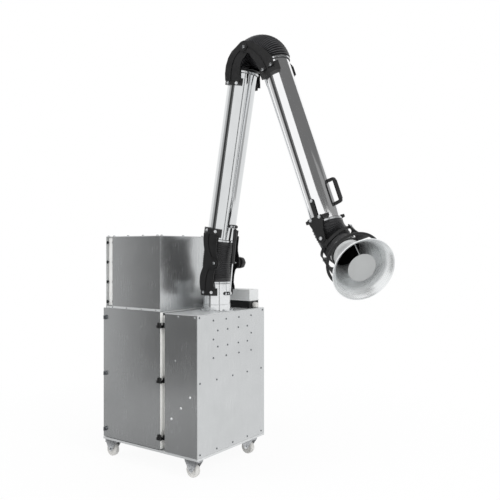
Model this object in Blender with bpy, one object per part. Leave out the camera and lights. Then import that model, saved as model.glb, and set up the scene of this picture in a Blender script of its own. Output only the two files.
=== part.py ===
# Mobile fume extractor: filter cabinet on casters, fan box and a two-link extraction arm with a hood.
# Metres, +Z up, front towards -Y, the arm reaches towards +X. Origin on the floor under the cabinet.

import math

import bmesh
import bpy
from mathutils import Matrix, Vector

# General sizes
GAP = 0.0003
SHEET = 0.003
FUSE = 0.002

# Cabinet
CAB_X = 0.373
CAB_Y = 0.3175
BASE_Z = 0.1135
BASE_TOP = 0.126
DECK_TOP = 0.901
FILTER_TOP = 0.907
SPLIT_LEFT = 0.099
SPLIT_RIGHT = 0.133
GROOVE_DEPTH = 0.0475
GROOVE_TOP = 0.886
BASE_RIB_X = 0.273

# Inner wall, its window and the spark baffle
WINDOW_Y = (-0.16, 0.22)
WINDOW_Z = (0.33, 0.66)
SLOPE_OFFSET = 0.1315
LEDGE_Z = 0.44
LEDGE_IN = 0.028

# Door, hinges and latches
DOOR_LEFT = -0.371
DOOR_DEEP = 0.024
DOOR_BOTTOM = 0.1295
HINGE_X = 0.108
HINGE_Y = -0.325
HINGE_Z = (0.831, 0.521, 0.200)
HINGE_TALL = 0.029
BARREL_R = 0.0065
PIN_R = 0.003
LATCH_X = -0.352
LATCH_Z = (0.850, 0.513, 0.178)
LATCH_R = 0.013
LATCH_SHAFT_R = 0.005

# Filter and tray
BAY_LEFT = -0.366
BAY_RIGHT = 0.093
CASSETTE_TALL = 0.30
CASSETTE_Y = (-0.258, 0.295)
TRAY_Y = (-0.288, 0.295)
PLEATS = 11
TRAY_TALL = 0.065

# Casters
CASTER_X = 0.323
CASTER_Y = 0.258
WHEEL_R = 0.040
WHEEL_HALF = 0.016
TRAIL = 0.030
CROWN_TOP = 0.0995
CROWN_TALL = 0.0095
FORK_HALF = 0.0215
AXLE_R = 0.004
SWIVEL_PIN_R = 0.006

# Fan box
FAN_LEFT = -0.294
FAN_FRONT = -0.318
FAN_BACK = 0.317
FAN_TOP = 1.337
STRIP_TOP = 0.921
END_X = -0.348
NECK_IN = 0.049
FAN_X = -0.100
INLET_R = 0.100
MOTOR_R = 0.085
SHAFT_R = 0.010
WHEEL_FAN_R = 0.150
FAN_LOW = FILTER_TOP + 0.023
IMPELLER_TALL = 0.070
FAN_PLATE = FAN_LOW + IMPELLER_TALL
MOTOR_LOW = FAN_PLATE + 0.060
BLADES = 6

# Control box on the deck
CTRL_X = (0.160, 0.341)
CTRL_Y = (0.208, 0.301)
CTRL_BASE_TALL = 0.044
CTRL_COVER_TALL = 0.069
CTRL_SPLIT = DECK_TOP + CTRL_BASE_TALL
CTRL_TOP = CTRL_SPLIT + CTRL_COVER_TALL
CTRL_LIP = 0.004
GLAND_R = 0.0165
GLAND_Y = 0.254
GLAND_Z = DECK_TOP + 0.0185

# Arm tubes
TUBE_R = 0.080
TUBE_WALL = 0.002
ARM_X = 0.2545
SLEEVE_R = TUBE_R - TUBE_WALL - GAP
SPIGOT_R = 0.082
SPIGOT_FLANGE_R = 0.100
SPIGOT_TOP = 0.939
SLEEVE_TOP = 1.000
SWIVEL_TOP = 1.079
LOWER_BASE = Vector((0.2545, 0.0, 1.179))
LOWER_LEAN = math.radians(10.11)
LOWER_ENDS = (0.128, 1.112)
UPPER_BASE = Vector((0.6998, 0.0, 2.1791))
UPPER_LEAN = math.radians(159.88)
UPPER_ENDS = (-0.120, 0.8447)

# Joint cheeks
LOW_PIVOT = (0.317, 1.180)
ELBOW_PIVOT = (0.526, 2.375)
CHEEK_IN = 0.0945
CHEEK_THICK = 0.005
PIVOT_R = 0.010
BOSS_R = 0.0275
SADDLE_SPAN = 4
BASE_SADDLE = (0.992, 1.034)
LOWER_SADDLE = (0.158, 0.205)
ELBOW_SADDLE = (1.022, 1.060)
UPPER_SADDLE = (-0.078, -0.026)
KNOB_R = 0.0355
KNOB_Y = (0.123, 0.162)

# Gas spring
LUG_OUT_FOOT = 0.0955
LUG_OUT_HEAD = 0.0977
FOOT_LUG_Z = 1.003
HEAD_LUG_S = 0.2297
SPRING_R = 0.011
SPRING_BORE_R = 0.0065
SPRING_BODY = 0.213
ROD_R = 0.004
ROD_LONG = 0.285
EYE_R = 0.009
EYE_HALF = 0.006
EYE_PIN_R = 0.004

# Hoses
HOSE_SIDES = 24
HOSE_BORE_R = (TUBE_R + GAP) / math.cos(math.pi / HOSE_SIDES)
CUFF = 0.020
LOW_RIB = (0.0845, 0.0905)
ELBOW_RIB = (0.0850, 0.0920)
HOOD_RIB = (0.0820, 0.0848)
ELBOW_ARC_R = 0.107

# Damper and bridge handle, by distance along the upper tube
DAMPER_S = 0.716
DAMPER_R = 0.075
LEVER_LONG = 0.086
HANDLE_S = 0.621
HANDLE_LONG = 0.146
HANDLE_OUT = 0.046
HANDLE_HALF = 0.009

# Hood joint and hood
TILT_S = 0.9226
YOKE_FROM = 0.806
YOKE_SADDLE = (YOKE_FROM, 0.8225)
GIMBAL = Vector((1.049, 0.0, 1.290))
SWING_AXIS = Vector((0.6532, 0.0, 0.7572))
HOOD_AXIS = Vector((0.7300, -0.5300, -0.4100)).normalized()
RING_CLEAR = 0.0198
RING_WALL = 0.0049
RING_IN_R = HOOD_RIB[1] + RING_CLEAR
RING_OUT_R = RING_IN_R + RING_WALL
RING_HALF = 0.008
YOKE_IN = RING_OUT_R + GAP
TILT_PIN_R = 0.007
SWING_PIN_R = 0.006
NECK_FROM = 0.100
BAND_FROM = 0.122
BAND_TO = 0.138
RIM_AT = 0.316
RIM_R = 0.1635
BELL_WALL = 0.0025
DISC_R = 0.0725
DISC_AT = 0.289
STRUT_TURN = 43.0
GRIP_R = 0.1425
GRIP_BAR_R = 0.007
GRIP_AT = 0.206

# Outlines of the joint cheeks, (x, z) in the arm's plane
BASE_CHEEK = (
    (0.2115, 1.022), (0.310, 1.022), (0.310, 1.039), (0.303, 1.062), (0.307, 1.105), (0.316, 1.138),
    (0.335, 1.156), (0.346, 1.172), (0.346, 1.192), (0.335, 1.207), (0.317, 1.213), (0.262, 1.205),
    (0.243, 1.192), (0.235, 1.170), (0.218, 1.136), (0.207, 1.109), (0.203, 1.069), (0.2075, 1.034),
)
LOWER_CHEEK = (
    (0.240, 1.354), (0.237, 1.319), (0.239, 1.286), (0.245, 1.252), (0.244, 1.219), (0.241, 1.179),
    (0.252, 1.156), (0.285, 1.145), (0.317, 1.143), (0.338, 1.152), (0.347, 1.170), (0.347, 1.192),
    (0.339, 1.213), (0.331, 1.250), (0.331, 1.275), (0.337, 1.321), (0.3385, 1.337),
)
ELBOW_LOWER = (
    (0.3928, 2.211), (0.4962, 2.1925), (0.496, 2.215), (0.494, 2.245), (0.498, 2.277), (0.510, 2.309),
    (0.530, 2.325), (0.550, 2.345), (0.556, 2.370), (0.550, 2.392), (0.541, 2.402), (0.522, 2.412),
    (0.502, 2.409), (0.462, 2.382), (0.438, 2.367), (0.414, 2.336), (0.397, 2.294), (0.391, 2.250),
)
ELBOW_UPPER = (
    (0.486, 2.392), (0.506, 2.407), (0.526, 2.410), (0.565, 2.398), (0.619, 2.370), (0.675, 2.328),
    (0.714, 2.287), (0.7232, 2.246), (0.6386, 2.215), (0.619, 2.255), (0.599, 2.283), (0.576, 2.309),
    (0.565, 2.330), (0.545, 2.340), (0.514, 2.349), (0.494, 2.365),
)

# Outlines of the hood arms, (outward, forward) from the hood joint's middle
HOOD_ARM_TOP = (
    (RING_OUT_R + 0.0007, 0.0066), (RING_OUT_R - 0.0063, 0.0480), (0.0985, 0.0850), (0.0925, 0.1160),
    (0.0845, 0.1240), (0.0845, 0.1370), (0.1000, 0.1550), (0.1390, 0.2010), (0.1420, 0.2090),
    (0.1465, 0.2030), (0.1280, 0.1500), (0.1180, 0.1100), (RING_OUT_R + 0.0045, 0.0600),
    (RING_OUT_R + 0.0081, 0.0079),
)
HOOD_ARM_LOW = (
    (-RING_OUT_R + 0.0033, -0.0302), (-RING_OUT_R - 0.0037, 0.0112), (-RING_OUT_R - 0.0070, 0.0418),
    (-0.1100, 0.0800), (-0.0925, 0.1160), (-0.0845, 0.1240), (-0.0845, 0.1370), (-0.1000, 0.1550),
    (-0.1390, 0.2010), (-0.1420, 0.2090), (-0.1465, 0.2030), (-0.1310, 0.1500), (-0.1280, 0.0900),
    (-RING_OUT_R - 0.0145, 0.0405), (-RING_OUT_R - 0.0111, 0.0099), (-RING_OUT_R - 0.0041, -0.0315),
)
HOOD_ARM_HALF = 0.009

# Colours: red, green, blue, metallic, roughness
STEEL = (0.62, 0.63, 0.64, 1.0, 0.30)
GALVANISED = (0.52, 0.53, 0.54, 1.0, 0.42)
BLACK = (0.02, 0.02, 0.022, 0.0, 0.45)
GREY = (0.30, 0.31, 0.32, 0.0, 0.50)
WHITE = (0.85, 0.85, 0.84, 0.0, 0.40)
PAPER = (0.80, 0.78, 0.70, 0.0, 0.90)
RUBBER = (0.015, 0.015, 0.016, 0.0, 0.60)


def clear_scene():
    for item in list(bpy.data.objects):
        bpy.data.objects.remove(item, do_unlink=True)


def look(name, colour):
    made = bpy.data.materials.new(name)
    made.use_nodes = True
    shader = made.node_tree.nodes["Principled BSDF"]
    shader.inputs["Base Color"].default_value = (colour[0], colour[1], colour[2], 1.0)
    shader.inputs["Metallic"].default_value = colour[3]
    shader.inputs["Roughness"].default_value = colour[4]
    return made


def piece(name, solid, colour, origin=(0.0, 0.0, 0.0), parent=None):
    """An object from a solid given in the shared frame, with its origin on the joint it turns about."""
    base = Vector(origin)
    bmesh.ops.translate(solid, verts=solid.verts, vec=-base)
    mesh = bpy.data.meshes.new(name)
    solid.to_mesh(mesh)
    solid.free()
    mesh.materials.append(look(name, colour))
    made = bpy.data.objects.new(name, mesh)
    bpy.context.scene.collection.objects.link(made)
    if parent is None:
        made.location = base
    else:
        made.parent = parent
        made.location = base - Vector(parent["base"])
    return made


def axis_empty(name, point, parent=None):
    """An empty on a joint axis. It keeps its place in the shared frame for the pieces below it."""
    made = bpy.data.objects.new(name, None)
    made.empty_display_size = 0.05
    base = Vector(point)
    made["base"] = base
    bpy.context.scene.collection.objects.link(made)
    if parent is None:
        made.location = base
    else:
        made.parent = parent
        made.location = base - Vector(parent["base"])
    return made


def skin(rings, closed_loop):
    """A closed solid through rings of points. An open row of rings is capped at both ends."""
    solid = bmesh.new()
    rows = [[solid.verts.new(point) for point in ring] for ring in rings]
    count = len(rows)
    last = count if closed_loop else count - 1
    for i in range(last):
        near = rows[i]
        far = rows[(i + 1) % count]
        for j in range(len(near)):
            k = (j + 1) % len(near)
            solid.faces.new((near[j], near[k], far[k], far[j]))
    if not closed_loop:
        solid.faces.new(rows[0])
        solid.faces.new(rows[-1])
    bmesh.ops.recalc_face_normals(solid, faces=solid.faces)
    return solid


def prism(outline, axis, low, high):
    """An outline in the plane across one axis, given a thickness along it."""
    def place(a, b, c):
        if axis == "x":
            return Vector((c, a, b))
        if axis == "y":
            return Vector((a, c, b))
        return Vector((a, b, c))
    rings = [[place(a, b, c) for a, b in outline] for c in (low, high)]
    return skin(rings, False)


def block(x, y, z):
    outline = ((x[0], y[0]), (x[1], y[0]), (x[1], y[1]), (x[0], y[1]))
    return prism(outline, "z", z[0], z[1])


def frame_of(base, along, across):
    """A matrix that puts local Z on one direction and local X as near as can be to another."""
    z = Vector(along).normalized()
    x = (Vector(across) - z * Vector(across).dot(z)).normalized()
    y = z.cross(x)
    turn = Matrix((x, y, z)).transposed().to_4x4()
    return Matrix.Translation(Vector(base)) @ turn


def placed(solid, matrix):
    bmesh.ops.transform(solid, matrix=matrix, verts=solid.verts)
    return solid


def turned(profile, sides, matrix=None):
    """A solid of revolution about local Z from points (radius, height). A hollow one has a closed profile."""
    hollow = all(radius > 0.0 for radius, _ in profile)
    rings = []
    for radius, height in profile:
        ring = []
        for i in range(sides):
            angle = 2.0 * math.pi * i / sides
            ring.append(Vector((radius * math.cos(angle), radius * math.sin(angle), height)))
        rings.append(ring)
    if not hollow:
        rings = rings[1:-1]
    solid = skin(rings, hollow)
    if matrix is not None:
        placed(solid, matrix)
    return solid


def rod(radius, low, high, sides, matrix=None):
    profile = ((0.0, low), (radius, low), (radius, high), (0.0, high))
    return turned(profile, sides, matrix)


def along_y(x, z):
    """Local Z on the shared Y axis, through a point of the arm's plane."""
    return frame_of((x, 0.0, z), (0.0, 1.0, 0.0), (1.0, 0.0, 0.0))


def scratch(solid, name):
    mesh = bpy.data.meshes.new(name)
    solid.to_mesh(mesh)
    solid.free()
    made = bpy.data.objects.new(name, mesh)
    bpy.context.scene.collection.objects.link(made)
    return made


def combined(first, second, operation):
    body = scratch(first, "scratch_body")
    tool = scratch(second, "scratch_tool")
    step = body.modifiers.new("step", "BOOLEAN")
    step.operation = operation
    step.solver = "EXACT"
    step.object = tool
    bpy.context.view_layer.update()
    graph = bpy.context.evaluated_depsgraph_get()
    result = bmesh.new()
    result.from_object(body, graph)
    bpy.data.objects.remove(body, do_unlink=True)
    bpy.data.objects.remove(tool, do_unlink=True)
    bmesh.ops.remove_doubles(result, verts=result.verts, dist=1e-6)
    return result


def fused(first, *others):
    for other in others:
        first = combined(first, other, "UNION")
    return first


def cut(first, *others):
    for other in others:
        first = combined(first, other, "DIFFERENCE")
    return first


def lower_frame(distance):
    direction = Vector((math.sin(LOWER_LEAN), 0.0, math.cos(LOWER_LEAN)))
    outward = Vector((math.cos(LOWER_LEAN), 0.0, -math.sin(LOWER_LEAN)))
    return frame_of(LOWER_BASE + direction * distance, direction, outward)


def upper_frame(distance):
    direction = Vector((math.sin(UPPER_LEAN), 0.0, math.cos(UPPER_LEAN)))
    outward = Vector((-math.cos(UPPER_LEAN), 0.0, math.sin(UPPER_LEAN)))
    return frame_of(UPPER_BASE + direction * distance, direction, outward)


def hood_frame():
    return frame_of(GIMBAL, HOOD_AXIS, SWING_AXIS)


def build_base_frame():
    solid = block((-CAB_X, CAB_X), (-CAB_Y, CAB_Y), (BASE_Z, BASE_TOP))
    inner_y = CAB_Y - SHEET
    pocket = block((-BASE_RIB_X, BASE_RIB_X), (-inner_y, inner_y), (BASE_Z - FUSE, BASE_TOP - SHEET))
    solid = cut(solid, pocket)
    head = (
        (0.0, CROWN_TOP - CROWN_TALL + 0.001),
        (SWIVEL_PIN_R, CROWN_TOP - CROWN_TALL + 0.001),
        (SWIVEL_PIN_R, CROWN_TOP + GAP),
        (0.022, CROWN_TOP + GAP),
        (0.031, BASE_Z - 0.004),
        (0.038, BASE_Z - 0.004),
        (0.038, BASE_Z + FUSE),
        (0.0, BASE_Z + FUSE),
    )
    for x in (-CASTER_X, CASTER_X):
        for y in (-CASTER_Y, CASTER_Y):
            solid = fused(solid, turned(head, 14, Matrix.Translation((x, y, 0.0))))
    piece("base_frame", solid, GALVANISED)


def build_walls():
    low = BASE_TOP + GAP
    top = DECK_TOP - SHEET - GAP
    door_back = -CAB_Y + DOOR_DEEP + GAP
    shell = (
        (-CAB_X, door_back),
        (-CAB_X + SHEET, door_back),
        (-CAB_X + SHEET, CAB_Y - SHEET),
        (CAB_X - SHEET - GAP, CAB_Y - SHEET),
        (CAB_X - SHEET - GAP, CAB_Y),
        (-CAB_X, CAB_Y),
    )
    solid = prism(shell, "z", low, top)
    ledge_x = (-CAB_X + 0.001, -CAB_X + SHEET + LEDGE_IN)
    ledge = block(ledge_x, (-0.26, CAB_Y - SHEET - 0.01), (LEDGE_Z - SHEET, LEDGE_Z))
    piece("rear_shell", fused(solid, ledge), STEEL)

    side = block((CAB_X - SHEET, CAB_X), (-CAB_Y, CAB_Y), (low, top))
    piece("side_panel", side, STEEL)

    back = -CAB_Y + GROOVE_DEPTH - GAP
    front = (
        (SPLIT_RIGHT, -CAB_Y),
        (CAB_X - SHEET - GAP, -CAB_Y),
        (CAB_X - SHEET - GAP, -CAB_Y + SHEET),
        (SPLIT_RIGHT + SHEET, -CAB_Y + SHEET),
        (SPLIT_RIGHT + SHEET, back),
        (SPLIT_RIGHT, back),
    )
    piece("front_panel", prism(front, "z", low, top), STEEL)


def build_partition():
    low = BASE_TOP + GAP
    top = GROOVE_TOP - SHEET - GAP
    door_back = -CAB_Y + DOOR_DEEP + GAP
    fold = -CAB_Y + GROOVE_DEPTH
    wall = SPLIT_RIGHT - GAP
    back = CAB_Y - SHEET - GAP
    plan = (
        (SPLIT_LEFT - SHEET, door_back),
        (SPLIT_LEFT, door_back),
        (SPLIT_LEFT, fold),
        (wall, fold),
        (wall, back),
        (wall - SHEET, back),
        (wall - SHEET, fold + SHEET),
        (SPLIT_LEFT - SHEET, fold + SHEET),
    )
    solid = prism(plan, "z", low, top)
    window = block((wall - 0.01, wall + 0.01), WINDOW_Y, WINDOW_Z)
    ledge = block((BAY_RIGHT - 0.02, wall - 0.001), (-0.26, back - 0.01), (LEDGE_Z - SHEET, LEDGE_Z))
    solid = cut(fused(solid, ledge), window)
    root = wall - 0.001
    long = (CAB_X - SHEET - GAP - root) * math.sqrt(2.0)
    step = (SPLIT_RIGHT + 2.0 * SHEET - root) * math.sqrt(2.0)
    outline = (
        (0.0, fold + 0.001),
        (step, fold + 0.001),
        (step, -CAB_Y + SHEET + GAP),
        (long, -CAB_Y + SHEET + GAP),
        (long, back - 0.001),
        (0.0, back - 0.001),
    )
    place = frame_of((root, 0.0, root + SLOPE_OFFSET), (-1.0, 0.0, 1.0), (1.0, 0.0, 1.0))
    slope = placed(prism(outline, "z", 0.0, SHEET), place)
    piece("partition", fused(solid, slope), STEEL)


def build_decks():
    deck = block((SPLIT_RIGHT, CAB_X), (-CAB_Y, CAB_Y), (DECK_TOP - SHEET, DECK_TOP))
    step = (
        (SPLIT_RIGHT, DECK_TOP - 0.001),
        (SPLIT_RIGHT, GROOVE_TOP),
        (SPLIT_LEFT + GAP, GROOVE_TOP),
        (SPLIT_LEFT + GAP, GROOVE_TOP - SHEET),
        (SPLIT_RIGHT + SHEET, GROOVE_TOP - SHEET),
        (SPLIT_RIGHT + SHEET, DECK_TOP - 0.001),
    )
    channel = prism(step, "y", -CAB_Y + GROOVE_DEPTH, CAB_Y - SHEET - GAP)
    hole = rod(SLEEVE_R + GAP, DECK_TOP - 0.02, DECK_TOP + 0.02, 36, Matrix.Translation((ARM_X, 0.0, 0.0)))
    piece("arm_deck", cut(fused(deck, channel), hole), STEEL)

    front = -CAB_Y + DOOR_DEEP + GAP
    low = DECK_TOP - SHEET
    top = block((-CAB_X, SPLIT_LEFT), (front, CAB_Y), (low, FILTER_TOP))
    pocket_x = (-CAB_X + SHEET, SPLIT_LEFT - SHEET)
    pocket = block(pocket_x, (front + SHEET, CAB_Y - SHEET), (low - FUSE, FILTER_TOP - SHEET))
    window = rod(INLET_R, low - 0.01, FILTER_TOP + 0.01, 40, Matrix.Translation((FAN_X, 0.0, 0.0)))
    piece("filter_deck", cut(top, pocket, window), STEEL)


def build_door():
    axis = axis_empty("door_axis", (HINGE_X, HINGE_Y, HINGE_Z[1]))
    back = -CAB_Y + DOOR_DEEP
    solid = block((DOOR_LEFT, SPLIT_LEFT), (-CAB_Y, back), (DOOR_BOTTOM, FILTER_TOP))
    pocket_x = (DOOR_LEFT + SHEET, SPLIT_LEFT - SHEET)
    pocket_z = (DOOR_BOTTOM + SHEET, FILTER_TOP - SHEET)
    solid = cut(solid, block(pocket_x, (-CAB_Y + SHEET, back + FUSE), pocket_z))
    for z in LATCH_Z:
        hole = rod(LATCH_SHAFT_R + GAP, -CAB_Y - 0.01, -CAB_Y + 0.01, 14, along_y(LATCH_X, z))
        solid = cut(solid, hole)
    piece("door", solid, STEEL, axis["base"], axis)
    return axis


def build_hinge(number, z, door_axis):
    middle = Matrix.Translation((HINGE_X, HINGE_Y, z))
    half = HINGE_TALL / 2.0
    body = rod(BARREL_R, -half, -GAP / 2.0, 12, middle)
    arm_x = (HINGE_X - 0.0045, HINGE_X + 0.0045)
    arm_y = (HINGE_Y + 0.002, -CAB_Y + GROOVE_DEPTH - GAP)
    arm = block(arm_x, arm_y, (z - half, z - GAP / 2.0))
    pin = rod(PIN_R, -half + 0.001, half, 12, middle)
    piece("hinge_frame_%d" % number, fused(body, arm, pin), BLACK)

    leaf_x = (HINGE_X - 0.026, HINGE_X)
    leaf_y = (-CAB_Y - GAP - 0.006, -CAB_Y - GAP)
    leaf = block(leaf_x, leaf_y, (z + GAP / 2.0, z + half))
    barrel = rod(BARREL_R, GAP / 2.0, half, 12, middle)
    bore = rod(PIN_R + GAP, -half, half + 0.01, 12, middle)
    solid = cut(fused(barrel, leaf), bore)
    piece("hinge_door_%d" % number, solid, BLACK, door_axis["base"], door_axis)


def build_latch(number, z, door_axis):
    spot = along_y(LATCH_X, z)
    face = -CAB_Y - GAP
    head = (
        (0.0, face - 0.008),
        (LATCH_R - 0.002, face - 0.008),
        (LATCH_R, face - 0.006),
        (LATCH_R, face),
        (LATCH_SHAFT_R, face),
        (LATCH_SHAFT_R, -CAB_Y + 0.009),
        (0.0, -CAB_Y + 0.009),
    )
    solid = turned(head, 12, spot)
    wing = block((LATCH_X - 0.0035, LATCH_X + 0.0035), (face - 0.016, face - 0.007), (z - 0.011, z + 0.011))
    cam = block((LATCH_X - 0.005, LATCH_X + 0.013), (-CAB_Y + 0.005, -CAB_Y + 0.0085), (z - 0.005, z + 0.005))
    base = (LATCH_X, -CAB_Y, z)
    piece("latch_%d" % number, fused(solid, wing, cam), BLACK, base, door_axis)


def build_filter():
    low = LEDGE_Z + GAP
    outline = [(BAY_LEFT, low), (BAY_RIGHT, low)]
    width = (BAY_RIGHT - BAY_LEFT - 0.03) / PLEATS
    outline.append((BAY_RIGHT, low + CASSETTE_TALL))
    outline.append((BAY_RIGHT - 0.015, low + CASSETTE_TALL))
    for i in range(PLEATS):
        right = BAY_RIGHT - 0.015 - width * i
        outline.append((right - width * 0.5, low + 0.02))
        if i < PLEATS - 1:
            outline.append((right - width, low + CASSETTE_TALL - 0.01))
    outline.append((BAY_LEFT + 0.015, low + CASSETTE_TALL))
    outline.append((BAY_LEFT, low + CASSETTE_TALL))
    piece("filter_cassette", prism(outline, "y", CASSETTE_Y[0], CASSETTE_Y[1]), PAPER)

    floor = BASE_TOP + GAP
    tray = block((BAY_LEFT, BAY_RIGHT), TRAY_Y, (floor, floor + TRAY_TALL))
    room_x = (BAY_LEFT + SHEET, BAY_RIGHT - SHEET)
    room = block(room_x, (TRAY_Y[0] + SHEET, TRAY_Y[1] - SHEET), (floor + SHEET, floor + TRAY_TALL + 0.01))
    piece("dust_tray", cut(tray, room), GALVANISED)


def build_caster(number, x, y):
    axis = axis_empty("caster_axis_%d" % number, (x, y, CROWN_TOP))
    crown = block((x - 0.026, x + 0.022), (y - FORK_HALF, y + FORK_HALF), (CROWN_TOP - CROWN_TALL, CROWN_TOP))
    leg = (
        (x + 0.022, CROWN_TOP - 0.001),
        (x - 0.026, CROWN_TOP - 0.001),
        (x - TRAIL - 0.008, WHEEL_R + 0.008),
        (x - TRAIL - 0.010, WHEEL_R),
        (x - TRAIL - 0.006, WHEEL_R - 0.009),
        (x - TRAIL + 0.006, WHEEL_R - 0.009),
        (x - TRAIL + 0.011, WHEEL_R),
    )
    near = prism(leg, "y", y - FORK_HALF, y - FORK_HALF + SHEET)
    far = prism(leg, "y", y + FORK_HALF - SHEET, y + FORK_HALF)
    axle = rod(AXLE_R, y - FORK_HALF + 0.001, y + FORK_HALF - 0.001, 12, along_y(x - TRAIL, WHEEL_R))
    hole = rod(SWIVEL_PIN_R + GAP, 0.08, 0.12, 14, Matrix.Translation((x, y, 0.0)))
    fork = cut(fused(crown, near, far, axle), hole)
    piece("caster_fork_%d" % number, fork, GALVANISED, axis["base"], axis)

    tread = (
        (AXLE_R + GAP, -WHEEL_HALF),
        (0.014, -0.012),
        (0.028, -0.012),
        (0.031, -WHEEL_HALF),
        (WHEEL_R, -0.012),
        (WHEEL_R, 0.012),
        (0.031, WHEEL_HALF),
        (0.028, 0.012),
        (0.014, 0.012),
        (AXLE_R + GAP, WHEEL_HALF),
    )
    spot = along_y(x - TRAIL, WHEEL_R)
    spot.translation.y = y
    base = (x - TRAIL, y, WHEEL_R)
    piece("caster_wheel_%d" % number, turned(tread, 16, spot), WHITE, base, axis)


def build_fan_box():
    low = FILTER_TOP + GAP
    high = FAN_TOP - SHEET - GAP
    outer = block((FAN_LEFT, SPLIT_LEFT), (FAN_FRONT, FAN_BACK), (low, high))
    strip = block((END_X - 0.002, FAN_LEFT + FUSE), (FAN_FRONT, FAN_BACK), (low, STRIP_TOP))
    duct_y = (FAN_FRONT + NECK_IN, FAN_BACK - NECK_IN)
    duct_z = (STRIP_TOP + 0.02, high - 0.03)
    neck = block((END_X + 0.001, FAN_LEFT + FUSE), duct_y, duct_z)
    flange = block((END_X, END_X + SHEET), (FAN_FRONT, FAN_BACK), (STRIP_TOP - FUSE, high))
    solid = fused(outer, strip, neck, flange)
    room_y = (FAN_FRONT + SHEET, FAN_BACK - SHEET)
    room = block((FAN_LEFT + SHEET, SPLIT_LEFT - SHEET), room_y, (low + SHEET, high + 0.01))
    passage_y = (duct_y[0] + SHEET, duct_y[1] - SHEET)
    passage_z = (duct_z[0] + SHEET, duct_z[1] - SHEET)
    passage = block((END_X - 0.01, FAN_LEFT + 0.01), passage_y, passage_z)
    inlet = rod(INLET_R, low - 0.01, low + 0.02, 40, Matrix.Translation((FAN_X, 0.0, 0.0)))
    piece("fan_box", cut(solid, room, passage, inlet), STEEL)
    lid = block((END_X, SPLIT_LEFT), (FAN_FRONT, FAN_BACK), (FAN_TOP - SHEET, FAN_TOP))
    piece("fan_box_lid", lid, STEEL)


def build_fan():
    middle = Matrix.Translation((FAN_X, 0.0, 0.0))
    high = FAN_TOP - SHEET - GAP
    body = (
        (0.0, FAN_LOW + 0.02),
        (SHAFT_R, FAN_LOW + 0.02),
        (SHAFT_R, MOTOR_LOW),
        (MOTOR_R - 0.012, MOTOR_LOW),
        (MOTOR_R, MOTOR_LOW + 0.02),
        (MOTOR_R, high - 0.02),
        (MOTOR_R + 0.025, high - 0.02),
        (MOTOR_R + 0.025, high),
        (0.0, high),
    )
    piece("fan_motor", turned(body, 16, middle), GREY)

    hub = (
        (SHAFT_R + GAP, FAN_LOW + 0.02),
        (0.028, FAN_LOW + 0.02),
        (0.032, FAN_PLATE),
        (WHEEL_FAN_R, FAN_PLATE),
        (WHEEL_FAN_R, FAN_PLATE + SHEET),
        (SHAFT_R + GAP, FAN_PLATE + SHEET),
    )
    solid = turned(hub, 18, middle)
    rim = (
        (INLET_R, FAN_LOW),
        (WHEEL_FAN_R, FAN_LOW),
        (WHEEL_FAN_R, FAN_LOW + SHEET),
        (INLET_R, FAN_LOW + SHEET),
    )
    shroud = turned(rim, 18, middle)
    for i in range(BLADES):
        turn = Matrix.Rotation(2.0 * math.pi * (i + 0.25) / BLADES, 4, "Z")
        tilt = Matrix.Rotation(math.radians(35.0), 4, "Z")
        blade = block((-0.030, 0.030), (-0.0015, 0.0015), (FAN_LOW + 0.001, FAN_PLATE + 0.001))
        placed(blade, middle @ turn @ Matrix.Translation((0.116, 0.0, 0.0)) @ tilt)
        solid = fused(solid, blade)
    solid = fused(solid, shroud)
    piece("fan_impeller", solid, GALVANISED, (FAN_X, 0.0, FAN_PLATE))


def build_control():
    low = DECK_TOP + GAP
    body = block(CTRL_X, CTRL_Y, (low, CTRL_SPLIT))
    gland = (
        (0.0, CTRL_X[1] - FUSE),
        (GLAND_R, CTRL_X[1] - FUSE),
        (GLAND_R, CTRL_X[1] + 0.010),
        (GLAND_R - 0.004, CTRL_X[1] + 0.012),
        (GLAND_R - 0.005, CTRL_X[1] + 0.024),
        (0.0, CTRL_X[1] + 0.024),
    )
    spot = frame_of((0.0, GLAND_Y, GLAND_Z), (1.0, 0.0, 0.0), (0.0, 1.0, 0.0))
    body = fused(body, turned(gland, 16, spot))
    room_x = (CTRL_X[0] + SHEET, CTRL_X[1] - SHEET)
    room_y = (CTRL_Y[0] + SHEET, CTRL_Y[1] - SHEET)
    body = cut(body, block(room_x, room_y, (low + SHEET, CTRL_SPLIT + 0.01)))
    piece("control_base", body, BLACK)

    lip = block((CTRL_X[0] - CTRL_LIP, CTRL_X[1] + CTRL_LIP), (CTRL_Y[0] - CTRL_LIP, CTRL_Y[1] + CTRL_LIP),
                (CTRL_SPLIT + GAP, CTRL_SPLIT + 0.006))
    hat = block(CTRL_X, CTRL_Y, (CTRL_SPLIT + 0.002, CTRL_TOP))
    cover = fused(lip, hat)
    cover = cut(cover, block(room_x, room_y, (CTRL_SPLIT - 0.01, CTRL_TOP - SHEET)))
    piece("control_cover", cover, GREY)


def lug(out):
    """Clevis for an eye of the gas spring: strap foot, two cheeks and the pin, in the frame of the tube."""
    foot = block((0.0700, TUBE_R + 0.005), (-0.034, 0.034), (-0.0095, 0.0095))
    solid = foot
    for side in (-1.0, 1.0):
        y = sorted((side * (EYE_HALF + 0.0005), side * (EYE_HALF + 0.0055)))
        solid = fused(solid, block((TUBE_R + 0.003, out + EYE_R), y, (-EYE_R, EYE_R)))
    pin = rod(EYE_PIN_R, -EYE_HALF - 0.005, EYE_HALF + 0.005, 12, along_y(out, 0.0))
    return fused(solid, pin)


def tube(ends, added=None):
    solid = rod(TUBE_R, ends[0], ends[1], 36)
    if added is not None:
        solid = fused(solid, added)
    return cut(solid, rod(TUBE_R - TUBE_WALL, ends[0] - 0.01, ends[1] + 0.01, 36))


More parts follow.
